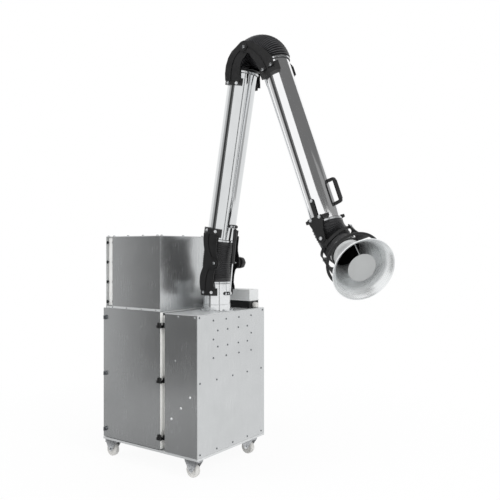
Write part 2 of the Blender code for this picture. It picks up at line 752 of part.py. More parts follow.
def build_spigot():
    low = DECK_TOP + GAP
    profile = (
        (SLEEVE_R - TUBE_WALL, DECK_TOP - 0.015),
        (SLEEVE_R, DECK_TOP - 0.015),
        (SLEEVE_R, low),
        (SPIGOT_FLANGE_R, low),
        (SPIGOT_FLANGE_R, low + 0.004),
        (SPIGOT_R, low + 0.004),
        (SPIGOT_R, SPIGOT_TOP),
        (SLEEVE_R, SPIGOT_TOP),
        (SLEEVE_R, SLEEVE_TOP),
        (SLEEVE_R - TUBE_WALL, SLEEVE_TOP),
    )
    piece("inlet_spigot", turned(profile, 24, Matrix.Translation((ARM_X, 0.0, 0.0))), STEEL)


def build_tubes(swivel, lower, upper):
    foot = placed(lug(LUG_OUT_FOOT), Matrix.Translation((0.0, 0.0, FOOT_LUG_Z)))
    stub = tube((SPIGOT_TOP + GAP, SWIVEL_TOP), foot)
    placed(stub, Matrix.Translation((ARM_X, 0.0, 0.0)))
    piece("swivel_tube", stub, STEEL, swivel["base"], swivel)

    head = placed(lug(LUG_OUT_HEAD), Matrix.Translation((0.0, 0.0, HEAD_LUG_S)))
    link = placed(tube(LOWER_ENDS, head), lower_frame(0.0))
    piece("lower_tube", link, STEEL, lower["base"], lower)

    outer = tube(UPPER_ENDS)
    hole = rod(0.0045, -0.1, 0.1, 12, along_y(0.0, DAMPER_S))
    outer = placed(cut(outer, hole), upper_frame(0.0))
    piece("upper_tube", outer, STEEL, upper["base"], upper)


def clamp(span, ends, outer, side):
    """Strap that hugs one side of a tube and carries a cheek, in the frame of the tube."""
    step = math.radians(10.0)
    middle = side * math.pi / 2.0
    outline = []
    for i in range(-span, span + 1):
        angle = middle + step * i
        outline.append(((TUBE_R + GAP) * math.cos(angle), (TUBE_R + GAP) * math.sin(angle)))
    for i in range(span, -span - 1, -2):
        angle = middle + step * i
        outline.append((outer * math.cos(angle), outer * math.sin(angle)))
    return prism(outline, "z", ends[0], ends[1])


def cheek(outline, side, layer):
    """A cheek plate of one side, in the first or the second layer from the hose."""
    low = CHEEK_IN + layer * (CHEEK_THICK + GAP)
    y = sorted((side * low, side * (low + CHEEK_THICK)))
    return prism(outline, "y", y[0], y[1])


def pivot(point, radius, side, low, high, sides=16):
    y = sorted((side * low, side * high))
    return rod(radius, y[0], y[1], sides, along_y(point[0], point[1]))


def build_cheeks(swivel, lower, upper):
    first = CHEEK_IN + CHEEK_THICK
    second = first + GAP
    face = second + CHEEK_THICK
    hold = CHEEK_IN + 0.002
    hold_two = second + 0.002
    upright = Matrix.Translation((ARM_X, 0.0, 0.0))
    for side, word in ((-1.0, "near"), (1.0, "far")):
        saddle = placed(clamp(SADDLE_SPAN, BASE_SADDLE, hold, side), upright)
        pin = pivot(LOW_PIVOT, PIVOT_R, side, CHEEK_IN + 0.001, face - 0.0005)
        solid = fused(cheek(BASE_CHEEK, side, 0), saddle, pin)
        piece("base_plate_" + word, solid, BLACK, swivel["base"], swivel)

        grip = clamp(SADDLE_SPAN, LOWER_SADDLE, hold_two, side)
        saddle = placed(grip, lower_frame(0.0))
        boss = pivot(LOW_PIVOT, BOSS_R, side, face - 0.001, face + 0.004, 20)
        solid = fused(cheek(LOWER_CHEEK, side, 1), saddle, boss)
        if side > 0.0:
            solid = fused(solid, pivot(LOW_PIVOT, PIN_R * 2.0, side, face + 0.001, KNOB_Y[0] + 0.010, 16))
        solid = cut(solid, pivot(LOW_PIVOT, PIVOT_R + GAP, side, CHEEK_IN, face))
        piece("lower_plate_" + word, solid, BLACK, lower["base"], lower)

        grip = clamp(SADDLE_SPAN, ELBOW_SADDLE, hold, side)
        saddle = placed(grip, lower_frame(0.0))
        pin = pivot(ELBOW_PIVOT, PIVOT_R, side, CHEEK_IN + 0.001, face - 0.0005)
        solid = fused(cheek(ELBOW_LOWER, side, 0), saddle, pin)
        piece("elbow_lower_" + word, solid, BLACK, lower["base"], lower)

        grip = clamp(SADDLE_SPAN, UPPER_SADDLE, hold_two, -side)
        saddle = placed(grip, upper_frame(0.0))
        boss = pivot(ELBOW_PIVOT, BOSS_R - 0.004, side, face - 0.001, face + 0.004, 20)
        solid = fused(cheek(ELBOW_UPPER, side, 1), saddle, boss)
        solid = cut(solid, pivot(ELBOW_PIVOT, PIVOT_R + GAP, side, CHEEK_IN, face))
        piece("elbow_upper_" + word, solid, BLACK, upper["base"], upper)

    knob_face = face + 0.004 + GAP
    profile = (
        (0.0, knob_face),
        (0.014, knob_face),
        (0.014, KNOB_Y[0]),
        (KNOB_R - 0.004, KNOB_Y[0]),
        (KNOB_R, KNOB_Y[0] + 0.005),
        (KNOB_R, KNOB_Y[1] - 0.010),
        (KNOB_R - 0.008, KNOB_Y[1]),
        (0.0, KNOB_Y[1]),
    )
    knob = turned(profile, 16, along_y(LOW_PIVOT[0], LOW_PIVOT[1]))
    bore = pivot(LOW_PIVOT, PIN_R * 2.0 + GAP, 1.0, face, KNOB_Y[0] + 0.012, 16)
    base = (LOW_PIVOT[0], KNOB_Y[0], LOW_PIVOT[1])
    piece("friction_knob", cut(knob, bore), BLACK, base, lower)


def build_gas_spring(swivel, lower):
    head = lower_frame(HEAD_LUG_S) @ Vector((LUG_OUT_HEAD, 0.0, 0.0))
    foot = Vector((ARM_X + LUG_OUT_FOOT, 0.0, FOOT_LUG_Z))
    down = frame_of(head, foot - head, (0.0, 1.0, 0.0))
    rise = frame_of(foot, head - foot, (0.0, 1.0, 0.0))
    eye = rod(EYE_R, -EYE_HALF, EYE_HALF, 16, along_y(head.x, head.z))
    stem = rod(EYE_HALF, 0.004, 0.014, 12, down)
    body = fused(eye, stem, rod(SPRING_R, 0.012, SPRING_BODY, 16, down))
    bore = rod(SPRING_BORE_R, 0.030, SPRING_BODY + 0.01, 16, down)
    hole = rod(EYE_PIN_R + GAP, -0.02, 0.02, 12, along_y(head.x, head.z))
    piece("gas_cylinder", cut(body, bore, hole), BLACK, head, lower)

    eye = rod(EYE_R, -EYE_HALF, EYE_HALF, 16, along_y(foot.x, foot.z))
    body = fused(eye, rod(ROD_R, 0.005, ROD_LONG, 12, rise))
    hole = rod(EYE_PIN_R + GAP, -0.02, 0.02, 12, along_y(foot.x, foot.z))
    piece("gas_rod", cut(body, hole), STEEL, foot, swivel)


def curve(points, count):
    """Points of a Bezier curve, straight when two points are given."""
    if len(points) == 2:
        return [points[0].lerp(points[1], i / count) for i in range(count + 1)]
    made = []
    for i in range(count + 1):
        row = list(points)
        while len(row) > 1:
            row = [row[k].lerp(row[k + 1], i / count) for k in range(len(row) - 1)]
        made.append(row[0])
    return made


def arc(middle, start, angle, count):
    """Points of an arc about the Y direction."""
    arm = start - middle
    made = []
    for i in range(count + 1):
        turn = Matrix.Rotation(angle * i / count, 3, "Y")
        made.append(middle + turn @ arm)
    return made


def frames_along(path, across):
    """Length, point, side and up of each point of a path, with no twist from one to the next."""
    made = []
    length = 0.0
    side = Vector(across)
    for i, point in enumerate(path):
        before = path[max(i - 1, 0)]
        after = path[min(i + 1, len(path) - 1)]
        heading = (after - before).normalized()
        if i:
            length += (point - path[i - 1]).length
        side = (side - heading * side.dot(heading)).normalized()
        made.append((length, point, side, heading.cross(side)))
    return made


def ring_at(frames, length, radius):
    k = 0
    while k < len(frames) - 2 and frames[k + 1][0] < length:
        k += 1
    near = frames[k]
    far = frames[k + 1]
    share = (length - near[0]) / (far[0] - near[0])
    point = near[1].lerp(far[1], share)
    side = near[2].lerp(far[2], share).normalized()
    up = near[3].lerp(far[3], share).normalized()
    ring = []
    for j in range(HOSE_SIDES):
        angle = 2.0 * math.pi * j / HOSE_SIDES
        ring.append(point + (side * math.cos(angle) + up * math.sin(angle)) * radius)
    return ring


def hose(path, ribs, radii, cuffs, bore_rings):
    """A ribbed hose: each rib is a valley and a crest, with plain cuffs and a plain bore."""
    frames = frames_along(path, (0.0, 1.0, 0.0))
    whole = frames[-1][0]
    low = cuffs[0]
    pitch = (whole - cuffs[0] - cuffs[1]) / ribs
    rings = [ring_at(frames, 0.0, radii[0])]
    for i in range(ribs):
        rings.append(ring_at(frames, low + pitch * (i + 0.25), radii[0]))
        rings.append(ring_at(frames, low + pitch * (i + 0.75), radii[1]))
    rings.append(ring_at(frames, whole - cuffs[1], radii[0]))
    rings.append(ring_at(frames, whole, radii[0]))
    rings.append(ring_at(frames, whole, HOSE_BORE_R))
    for i in range(bore_rings + 1):
        back = cuffs[1] + (whole - cuffs[0] - cuffs[1]) * i / bore_rings
        rings.append(ring_at(frames, whole - back, HOSE_BORE_R))
    rings.append(ring_at(frames, 0.0, HOSE_BORE_R))
    return skin(rings, True)


def joined_path(*parts):
    made = []
    for part in parts:
        for point in part:
            if not made or (point - made[-1]).length > 1e-6:
                made.append(point)
    return made


def on_lower(distance):
    return lower_frame(distance).translation.copy()


def on_upper(distance):
    return upper_frame(distance).translation.copy()


def elbow_arc():
    """Middle of the arc that meets both tube axes, and where it leaves each of them."""
    out = lower_frame(0.0).col[0].to_3d()
    back = -upper_frame(0.0).col[0].to_3d()
    along = lower_frame(0.0).col[2].to_3d()
    away = upper_frame(0.0).col[2].to_3d()
    want = UPPER_BASE + back * ELBOW_ARC_R - LOWER_BASE - out * ELBOW_ARC_R
    spread = away.x * along.z - along.x * away.z
    a = (away.x * want.z - want.x * away.z) / spread
    b = (along.x * want.z - want.x * along.z) / spread
    return on_lower(a) + out * ELBOW_ARC_R, a, b


def build_hoses(swivel, lower, upper, gimbal):
    start = Vector((ARM_X, 0.0, SWIVEL_TOP - CUFF))
    end = on_lower(LOWER_ENDS[0] + CUFF)
    first = start + Vector((0.0, 0.0, CUFF))
    last = on_lower(LOWER_ENDS[0])
    path = joined_path(curve((start, first), 4), curve((first, LOWER_BASE.copy(), last), 40), curve((last, end), 4))
    solid = hose(path, 13, LOW_RIB, (CUFF, CUFF), 3)
    piece("lower_hose", solid, RUBBER, swivel["base"], swivel)

    middle, a, b = elbow_arc()
    start = on_lower(LOWER_ENDS[1] - CUFF)
    end = on_upper(UPPER_ENDS[0] + CUFF)
    sweep = UPPER_LEAN - LOWER_LEAN
    bend = arc(middle, on_lower(a), sweep, 80)
    path = joined_path(curve((start, on_lower(a)), 8), bend, curve((on_upper(b), end), 8))
    solid = hose(path, 17, ELBOW_RIB, (CUFF, CUFF), 8)
    piece("elbow_hose", solid, RUBBER, lower["base"], lower)

    start = on_upper(UPPER_ENDS[1] - CUFF)
    first = on_upper(UPPER_ENDS[1])
    heading = upper_frame(0.0).col[2].to_3d()
    through = (heading + HOOD_AXIS).normalized()
    halt = GIMBAL - through * 2.0 * GAP
    bend = curve((first, first + heading * 0.036, halt - through * 0.050, halt), 160)
    solid = hose(joined_path(curve((start, first), 4), bend), 6, HOOD_RIB, (CUFF, 0.004), 3)
    piece("hood_hose_upper", solid, RUBBER, upper["base"], upper)

    begin = GIMBAL + through * 2.0 * GAP
    neck = GIMBAL + HOOD_AXIS * NECK_FROM
    end = GIMBAL + HOOD_AXIS * (NECK_FROM + CUFF)
    bend = curve((begin, begin + through * 0.052, neck - HOOD_AXIS * 0.034, neck), 160)
    solid = hose(joined_path(bend, curve((neck, end), 4)), 6, HOOD_RIB, (0.004, CUFF), 3)
    piece("hood_hose_lower", solid, RUBBER, gimbal["base"], gimbal)


def build_damper(upper):
    disc = rod(DAMPER_R, -0.001, 0.001, 28, frame_of((0.0, 0.0, 0.0), (1.0, 0.0, 0.0), (0.0, 1.0, 0.0)))
    shaft = rod(0.004, -TUBE_R - 0.006, TUBE_R + 0.011, 12, along_y(0.0, 0.0))
    lever = (
        (-0.011, -0.004), (-0.007, -0.011), (0.007, -0.011), (0.011, -0.004), (0.008, LEVER_LONG - 0.006),
        (0.004, LEVER_LONG), (-0.004, LEVER_LONG), (-0.008, LEVER_LONG - 0.006),
    )
    arm = prism(lever, "y", TUBE_R + 0.008, TUBE_R + 0.0125)
    solid = placed(fused(disc, shaft, arm), upper_frame(DAMPER_S))
    piece("damper", solid, GALVANISED, on_upper(DAMPER_S), upper)


def build_handle(upper):
    foot = TUBE_R + GAP
    top = TUBE_R + HANDLE_OUT
    long = HANDLE_LONG
    bar = 0.013
    outline = (
        (foot, 0.0), (top - 0.012, 0.003), (top - 0.003, 0.007), (top, 0.016), (top, long - 0.016),
        (top - 0.003, long - 0.007), (top - 0.012, long - 0.003), (foot, long), (foot, long - bar - 0.005),
        (top - bar - 0.006, long - bar - 0.005), (top - bar, long - bar - 0.010), (top - bar, bar + 0.010),
        (top - bar - 0.006, bar + 0.005), (foot, bar + 0.005),
    )
    solid = placed(prism(outline, "y", -HANDLE_HALF, HANDLE_HALF), upper_frame(HANDLE_S))
    piece("tube_handle", solid, BLACK, upper["base"], upper)


def build_hood_joint(upper, gimbal):
    tilt = on_upper(TILT_S)
    spot = (tilt.x, tilt.z)
    tip = TILT_S + 0.024
    plate = (
        (-0.040, YOKE_FROM), (0.040, YOKE_FROM), (0.040, 0.836), (0.026, 0.880), (0.024, TILT_S), (0.017, tip - 0.007),
        (0.0, tip), (-0.017, tip - 0.007), (-0.024, TILT_S), (-0.026, 0.880), (-0.040, 0.836),
    )
    for side, word in ((-1.0, "near"), (1.0, "far")):
        y = sorted((-side * YOKE_IN, -side * (YOKE_IN + CHEEK_THICK)))
        solid = placed(prism(plate, "y", y[0], y[1]), upper_frame(0.0))
        saddle = placed(clamp(SADDLE_SPAN, YOKE_SADDLE, YOKE_IN + 0.002, -side), upper_frame(0.0))
        boss = pivot(spot, 0.015, side, YOKE_IN + CHEEK_THICK - 0.001, YOKE_IN + CHEEK_THICK + 0.004)
        pin = pivot(spot, TILT_PIN_R, side, RING_OUT_R - 0.0035, YOKE_IN + 0.002)
        piece("hood_yoke_" + word, fused(solid, saddle, boss, pin), BLACK, upper["base"], upper)

    through = Vector((0.0, 1.0, 0.0)).cross(SWING_AXIS)
    place = frame_of(GIMBAL, through, SWING_AXIS)
    band = ((RING_IN_R, -RING_HALF), (RING_OUT_R, -RING_HALF), (RING_OUT_R, RING_HALF), (RING_IN_R, RING_HALF))
    ring = turned(band, 28, place)
    ear = (
        (-0.020, 0.007), (0.014, 0.007), (0.012, -0.020), (0.0085, -0.045), (0.0035, -0.053),
        (-0.0145, -0.053), (-0.0195, -0.045), (-0.022, -0.020),
    )
    for side in (-1.0, 1.0):
        y = sorted((side * (RING_OUT_R - 0.004), side * RING_OUT_R))
        ring = fused(ring, placed(prism(ear, "y", y[0], y[1]), place))
    swing = frame_of(GIMBAL, SWING_AXIS, (0.0, 1.0, 0.0))
    hole = rod(SWING_PIN_R + GAP, -0.15, 0.15, 16, swing)
    bore = rod(TILT_PIN_R + GAP, -0.15, 0.15, 16, along_y(tilt.x, tilt.z))
    piece("gimbal_ring", cut(ring, hole, bore), BLACK, gimbal["base"], gimbal)


def build_hood(hood):
    outer = (
        (TUBE_R, NECK_FROM), (TUBE_R, 0.150), (0.087, 0.174), (0.113, 0.232), (0.125, 0.262), (0.140, 0.290),
        (RIM_R, RIM_AT),
    )
    profile = list(outer)
    for radius, height in reversed(outer):
        profile.append((radius - BELL_WALL, height))
    piece("hood_bell", turned(profile, 36, hood_frame()), STEEL, hood["base"], hood)

    disc = turned(((0.0, DISC_AT), (DISC_R, DISC_AT), (DISC_R, DISC_AT + 0.002), (0.0, DISC_AT + 0.002)), 32)
    for i in range(3):
        turn = Matrix.Rotation(math.radians(STRUT_TURN + 120.0 * i), 3, "Z")
        near = turn @ Vector((0.060, 0.0, DISC_AT + 0.001))
        far = turn @ Vector((0.1106, 0.0, 0.236))
        disc = fused(disc, rod(0.002, 0.0, (far - near).length, 8, frame_of(near, far - near, (0.0, 0.0, 1.0))))
    piece("baffle", placed(disc, hood_frame()), STEEL, hood["base"], hood)

    rings = []
    for i in range(28):
        angle = 2.0 * math.pi * i / 28
        out = Vector((math.cos(angle), math.sin(angle), 0.0))
        ring = []
        for j in range(8):
            around = 2.0 * math.pi * j / 8
            radius = GRIP_R + GRIP_BAR_R * math.cos(around)
            ring.append(out * radius + Vector((0.0, 0.0, GRIP_AT + GRIP_BAR_R * math.sin(around))))
        rings.append(ring)
    solid = skin(rings, True)
    inner = TUBE_R + GAP
    band = ((inner, BAND_FROM), (inner + 0.006, BAND_FROM), (inner + 0.006, BAND_TO), (inner, BAND_TO))
    solid = fused(solid, prism(HOOD_ARM_TOP, "y", -HOOD_ARM_HALF, HOOD_ARM_HALF))
    solid = fused(solid, prism(HOOD_ARM_LOW, "y", -HOOD_ARM_HALF, HOOD_ARM_HALF), turned(band, 36))
    placed(solid, hood_frame())
    swing = frame_of(GIMBAL, SWING_AXIS, (0.0, 1.0, 0.0))
    pin = RING_OUT_R - 0.005
    solid = fused(solid, rod(SWING_PIN_R, pin, RING_OUT_R + 0.005, 16, swing))
    solid = fused(solid, rod(SWING_PIN_R, -RING_OUT_R - 0.005, -pin, 16, swing))
    piece("ring_handle", solid, BLACK, hood["base"], hood)


def main():
    clear_scene()
    build_base_frame()
    build_walls()
    build_partition()
    build_decks()
    door = build_door()
    for number, z in enumerate(HINGE_Z, 1):
        build_hinge(number, z, door)
    for number, z in enumerate(LATCH_Z, 1):
        build_latch(number, z, door)
    build_filter()
    number = 0
    for x in (-CASTER_X, CASTER_X):
        for y in (-CASTER_Y, CASTER_Y):
            number += 1
            build_caster(number, x, y)
    build_fan_box()
    build_fan()
    build_control()
    build_spigot()
    swivel = axis_empty("swivel_axis", (ARM_X, 0.0, SPIGOT_TOP))
    lower = axis_empty("lower_arm_axis", (LOW_PIVOT[0], 0.0, LOW_PIVOT[1]), swivel)
    upper = axis_empty("upper_arm_axis", (ELBOW_PIVOT[0], 0.0, ELBOW_PIVOT[1]), lower)
    gimbal = axis_empty("hood_tilt_axis", on_upper(TILT_S), upper)
    hood = axis_empty("hood_swing_axis", GIMBAL, gimbal)
    build_tubes(swivel, lower, upper)
    build_cheeks(swivel, lower, upper)
    build_gas_spring(swivel, lower)
    build_hoses(swivel, lower, upper, gimbal)
    build_damper(upper)
    build_handle(upper)
    build_hood_joint(upper, gimbal)
    build_hood(hood)


main()
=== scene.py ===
# Mobile fume extractor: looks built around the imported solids. Metres, +Z up, the front faces -Y.

import math

import bpy
from mathutils import Matrix, Vector


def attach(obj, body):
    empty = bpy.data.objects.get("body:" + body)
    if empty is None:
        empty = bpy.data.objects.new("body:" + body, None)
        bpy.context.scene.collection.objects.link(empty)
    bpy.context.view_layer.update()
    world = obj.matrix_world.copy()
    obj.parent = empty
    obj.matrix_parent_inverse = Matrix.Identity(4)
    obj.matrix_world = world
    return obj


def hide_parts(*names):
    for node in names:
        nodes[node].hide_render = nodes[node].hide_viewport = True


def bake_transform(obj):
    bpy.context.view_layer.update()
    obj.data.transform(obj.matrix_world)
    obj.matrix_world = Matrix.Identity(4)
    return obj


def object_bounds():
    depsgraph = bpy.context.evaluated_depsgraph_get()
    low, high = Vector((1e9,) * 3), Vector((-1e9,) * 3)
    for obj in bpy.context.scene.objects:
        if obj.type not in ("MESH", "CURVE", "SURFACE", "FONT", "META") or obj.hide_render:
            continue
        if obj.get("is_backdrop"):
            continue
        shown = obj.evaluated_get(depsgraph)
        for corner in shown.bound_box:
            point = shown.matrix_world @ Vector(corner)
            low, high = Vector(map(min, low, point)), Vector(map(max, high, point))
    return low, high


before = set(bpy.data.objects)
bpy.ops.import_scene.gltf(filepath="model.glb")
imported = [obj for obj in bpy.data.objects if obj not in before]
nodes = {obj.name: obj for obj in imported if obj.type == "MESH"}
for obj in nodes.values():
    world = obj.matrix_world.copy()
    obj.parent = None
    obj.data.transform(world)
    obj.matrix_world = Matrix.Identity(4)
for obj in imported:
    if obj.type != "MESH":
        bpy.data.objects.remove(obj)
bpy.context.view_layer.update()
sideX = Vector((1.0, 0.0, 0.0))
backY = Vector((0.0, 1.0, 0.0))
upZ = Vector((0.0, 0.0, 1.0))
print("frame loaded:", len(nodes), "nodes")


# Selecting, placing and dressing

def pick(*pieces):
    # these pieces alone are selected, and the first is the active one
    bpy.ops.object.select_all(action="DESELECT")
    for piece in pieces:
        piece.select_set(True)
    bpy.context.view_layer.objects.active = pieces[0]


def rename(obj, name):
    obj.name = name
    obj.data.name = name
    return obj


def camelName(node):
    first, *others = node.split("_")
    return first + "".join(word.capitalize() for word in others)


def enter(obj):
    bpy.context.scene.collection.objects.link(obj)
    return obj


def copyPiece(source, name):
    # a copy with its own mesh
    obj = enter(source.copy())
    obj.data = source.data.copy()
    return rename(obj, name)


def drop(*pieces):
    for piece in pieces:
        bpy.data.objects.remove(piece, do_unlink=True)


def settle(obj, matrix):
    # puts a piece in place and leaves the place in its mesh
    obj.matrix_world = matrix
    bpy.context.view_layer.update()
    pick(obj)
    bpy.ops.object.transform_apply(location=True, rotation=True, scale=True)
    return obj


def axisFrame(base, along, across):
    # a place with Z along one direction, and X as near as it can be to another
    z = Vector(along).normalized()
    x = (Vector(across) - z * Vector(across).dot(z)).normalized()
    turn = Matrix((x, z.cross(x), z)).transposed().to_4x4()
    return Matrix.Translation(Vector(base)) @ turn


def smooth(obj, degrees=32.0):
    pick(obj)
    bpy.ops.object.shade_smooth_by_angle(angle=math.radians(degrees))
    return obj


def dress(obj, material, body=None):
    obj.data.materials.clear()
    obj.data.materials.append(material)
    if body:
        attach(obj, body)
    return obj


# Modelling: a turned profile, a bent tube, a cut plate, a rounded copy, rows of fasteners

def applyStep(obj, kind, **settings):
    # one modifier, set and applied
    step = obj.modifiers.new(kind, kind)
    for key, value in settings.items():
        setattr(step, key, value)
    pick(obj)
    bpy.ops.object.modifier_apply(modifier=step.name)


def turnProfile(name, profile, steps, place=None, degrees=32.0):
    # one point is drawn out along the profile, which is then spun round Z, smoothed and put in place
    bpy.ops.object.select_all(action="DESELECT")
    bpy.ops.mesh.primitive_plane_add(size=0.001)
    obj = rename(bpy.context.object, name)
    bpy.ops.object.mode_set(mode="EDIT")
    bpy.ops.mesh.merge(type="CENTER")
    bpy.ops.transform.translate(value=(profile[0][0], 0.0, profile[0][1]))
    for near, far in zip(profile, profile[1:]):
        step = (far[0] - near[0], 0.0, far[1] - near[1])
        bpy.ops.mesh.extrude_region_move(TRANSFORM_OT_translate={"value": step})
    bpy.ops.mesh.select_all(action="SELECT")
    bpy.ops.mesh.spin(steps=steps, angle=2.0 * math.pi, center=(0.0, 0.0, 0.0), axis=(0.0, 0.0, 1.0))
    bpy.ops.mesh.select_all(action="SELECT")
    bpy.ops.mesh.remove_doubles(threshold=0.000005)
    bpy.ops.mesh.normals_make_consistent(inside=False)
    bpy.ops.object.mode_set(mode="OBJECT")
    if degrees:
        smooth(obj, degrees)
    return obj if place is None else settle(obj, place)


def bendAlong(obj, path):
    data = bpy.data.curves.new("bendPath", "CURVE")
    data.dimensions = "3D"
    data.twist_mode = "MINIMUM"
    spline = data.splines.new("POLY")
    spline.points.add(len(path) - 1)
    for point, place in zip(spline.points, path):
        point.co = (place.x, place.y, place.z, 1.0)
    guide = enter(bpy.data.objects.new("bendPath", data))
    applyStep(obj, "CURVE", object=guide, deform_axis="POS_Z")
    drop(guide)


def bevelEdges(obj, width, segments):
    applyStep(obj, "BEVEL", width=width, segments=segments, limit_method="ANGLE",
              angle_limit=math.radians(40.0), use_clamp_overlap=True)


def rectangle(left, right, low, high):
    return [(left, low), (right, low), (right, high), (left, high)]


def cutPlate(name, outline, low, high, edge):
    # the outline lies in XZ, and the plate is drawn out along Y
    bpy.ops.object.select_all(action="DESELECT")
    bpy.ops.mesh.primitive_circle_add(vertices=len(outline), radius=0.1, fill_type="NGON")
    obj = rename(bpy.context.object, name)
    for vertex, (x, z) in zip(obj.data.vertices, outline):
        vertex.co = (x, low, z)
    bpy.ops.object.mode_set(mode="EDIT")
    bpy.ops.mesh.select_all(action="SELECT")
    bpy.ops.mesh.extrude_region_move(TRANSFORM_OT_translate={"value": (0.0, high - low, 0.0)})
    bpy.ops.mesh.select_all(action="SELECT")
    bpy.ops.mesh.normals_make_consistent(inside=False)
    bpy.ops.object.mode_set(mode="OBJECT")
    if edge:
        bevelEdges(obj, edge, 2)
    return smooth(obj)


def roundedCopy(node, width, name=None, segments=2, cutter=None):
    # copy of a solid with its corners broken, for pieces whose shape is already right
    obj = copyPiece(nodes[node], name or camelName(node))
    for key in list(obj.keys()):
        del obj[key]
    obj.parent = None
    pick(obj)
    bpy.ops.object.mode_set(mode="EDIT")
    bpy.ops.mesh.select_all(action="SELECT")
    bpy.ops.mesh.remove_doubles(threshold=0.00002)
    bpy.ops.mesh.dissolve_limited(angle_limit=math.radians(0.6))
    bpy.ops.object.mode_set(mode="OBJECT")
    if cutter:
        applyStep(obj, "BOOLEAN", operation="DIFFERENCE", object=cutter)
        drop(cutter)
    bevelEdges(obj, width, segments)
    smooth(obj)
    applyStep(obj, "WEIGHTED_NORMAL", keep_sharp=True)  # keeps wide faces flat beside the small bevels
    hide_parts(node)
    return obj


def joinAll(name, pieces):
    pick(*pieces)
    if len(pieces) > 1:
        bpy.ops.object.join()
    return rename(pieces[0], name)


def fixRow(name, template, spots, material, body):
    # copies of one fastener, each at a point and along a normal, as one piece
    made = []
    for point, normal in spots:
        copy = copyPiece(template, name)
        copy.matrix_world = axisFrame(point, normal, upZ if abs(Vector(normal).z) < 0.9 else sideX)
        made.append(copy)
    bpy.context.view_layer.update()
    pick(*made)
    bpy.ops.object.transform_apply(location=True, rotation=True, scale=True)
    dress(joinAll(name, made), material, body)


# Materials

def hexLinear(code):
    made = []
    for i in (1, 3, 5):
        value = int(code[i:i + 2], 16) / 255.0
        made.append(value / 12.92 if value <= 0.04045 else ((value + 0.055) / 1.055) ** 2.4)
    return (made[0], made[1], made[2], 1.0)


def addNode(tree, kind, settings=None, links=None):
    # "in:" sets a socket, "stops" the two ends of a colour ramp, anything else the node itself
    node = tree.nodes.new(kind)
    for key, value in (settings or {}).items():
        if key == "stops":
            for element, (place, code) in zip(node.color_ramp.elements, value):
                element.position = place
                element.color = hexLinear(code)
        elif key.startswith("in:"):
            slot = key[3:]
            node.inputs[int(slot) if slot.isdigit() else slot].default_value = value
        else:
            setattr(node, key, value)
    for slot, source in (links or {}).items():
        tree.links.new(source, node.inputs[int(slot) if slot.isdigit() else slot])
    return node


def fromTo(ends, levels):
    # settings that take one range to another
    return {"in:From Min": ends[0], "in:From Max": ends[1], "in:To Min": levels[0], "in:To Max": levels[1]}


def startMaterial(name, colour, metallic, roughness):
    made = bpy.data.materials.new(name)
    made.use_nodes = True
    shader = made.node_tree.nodes["Principled BSDF"]
    shader.inputs["Base Color"].default_value = hexLinear(colour)
    shader.inputs["Metallic"].default_value = metallic
    shader.inputs["Roughness"].default_value = roughness
    where = addNode(made.node_tree, "ShaderNodeTexCoord").outputs["Object"]
    return made, made.node_tree, shader, where


def finishSkin(tree, shader, look, ends, toneFrom, wornFrom, heightFrom):
    # tone and gloss run between the two ends of a pattern, over a low relief
    stops = ((ends[0], look["dark"]), (ends[1], look["light"]))
    tone = addNode(tree, "ShaderNodeValToRGB", {"stops": stops}, {"Fac": toneFrom})
    worn = addNode(tree, "ShaderNodeMapRange", fromTo(ends, look["rough"]), {"Value": wornFrom})
    lift = addNode(tree, "ShaderNodeBump", {"in:Strength": look["bump"], "in:Distance": 0.001},
                   {"Height": heightFrom})
    tree.links.new(tone.outputs["Color"], shader.inputs["Base Color"])
    tree.links.new(worn.outputs["Result"], shader.inputs["Roughness"])
    tree.links.new(lift.outputs["Normal"], shader.inputs["Normal"])


def brushedMetal(name, **look):
    # metal drawn or brushed one way: streaks long along one axis and fine across it, with slow clouds
    made, tree, shader, where = startMaterial(name, look["light"], look.get("metal", 1.0), look["rough"][0])
    spot = addNode(tree, "ShaderNodeMapping", {
        "vector_type": "TEXTURE", "in:Location": look.get("place", (0.0, 0.0, 0.0)),
        "in:Rotation": look.get("turn", (0.0, 0.0, 0.0))}, {"Vector": where})
    fine = addNode(tree, "ShaderNodeVectorMath", {"operation": "MULTIPLY", "in:1": look["grain"]},
                   {"0": spot.outputs["Vector"]})
    streak = addNode(tree, "ShaderNodeTexNoise", {"in:Scale": 1.0, "in:Detail": 4.0, "in:Roughness": 0.6},
                     {"Vector": fine.outputs["Vector"]})
    cloud = addNode(tree, "ShaderNodeTexNoise", {"in:Scale": 7.0, "in:Detail": 3.0},
                    {"Vector": spot.outputs["Vector"]})
    weak = addNode(tree, "ShaderNodeMath", {"operation": "MULTIPLY", "in:1": 0.6},
                   {"0": streak.outputs["Fac"]})
    mixed = addNode(tree, "ShaderNodeMath", {"operation": "MULTIPLY_ADD", "in:1": 0.4},
                    {"0": cloud.outputs["Fac"], "2": weak.outputs["Value"]}).outputs["Value"]
    finishSkin(tree, shader, look, (0.35, 0.65), mixed, mixed, streak.outputs["Fac"])
    return made


def mouldedSkin(name, **look):
    # moulded, painted or coated skin: a fine even grain, with a faint change of tone over the piece
    made, tree, shader, where = startMaterial(name, look["dark"], 0.0, look["rough"][0])
    shader.inputs["Specular IOR Level"].default_value = look.get("specular", 0.5)
    grain = addNode(tree, "ShaderNodeTexNoise", {
        "in:Scale": 1000.0 / look["grainMillimetres"], "in:Detail": 2.0, "in:Roughness": 0.55},
        {"Vector": where})
    cloud = addNode(tree, "ShaderNodeTexNoise", {"in:Scale": 26.0, "in:Detail": 4.0, "in:Roughness": 0.6},
                    {"Vector": where}).outputs["Fac"]
    finishSkin(tree, shader, look, (0.3, 0.7), cloud, cloud, grain.outputs["Fac"])
    return made


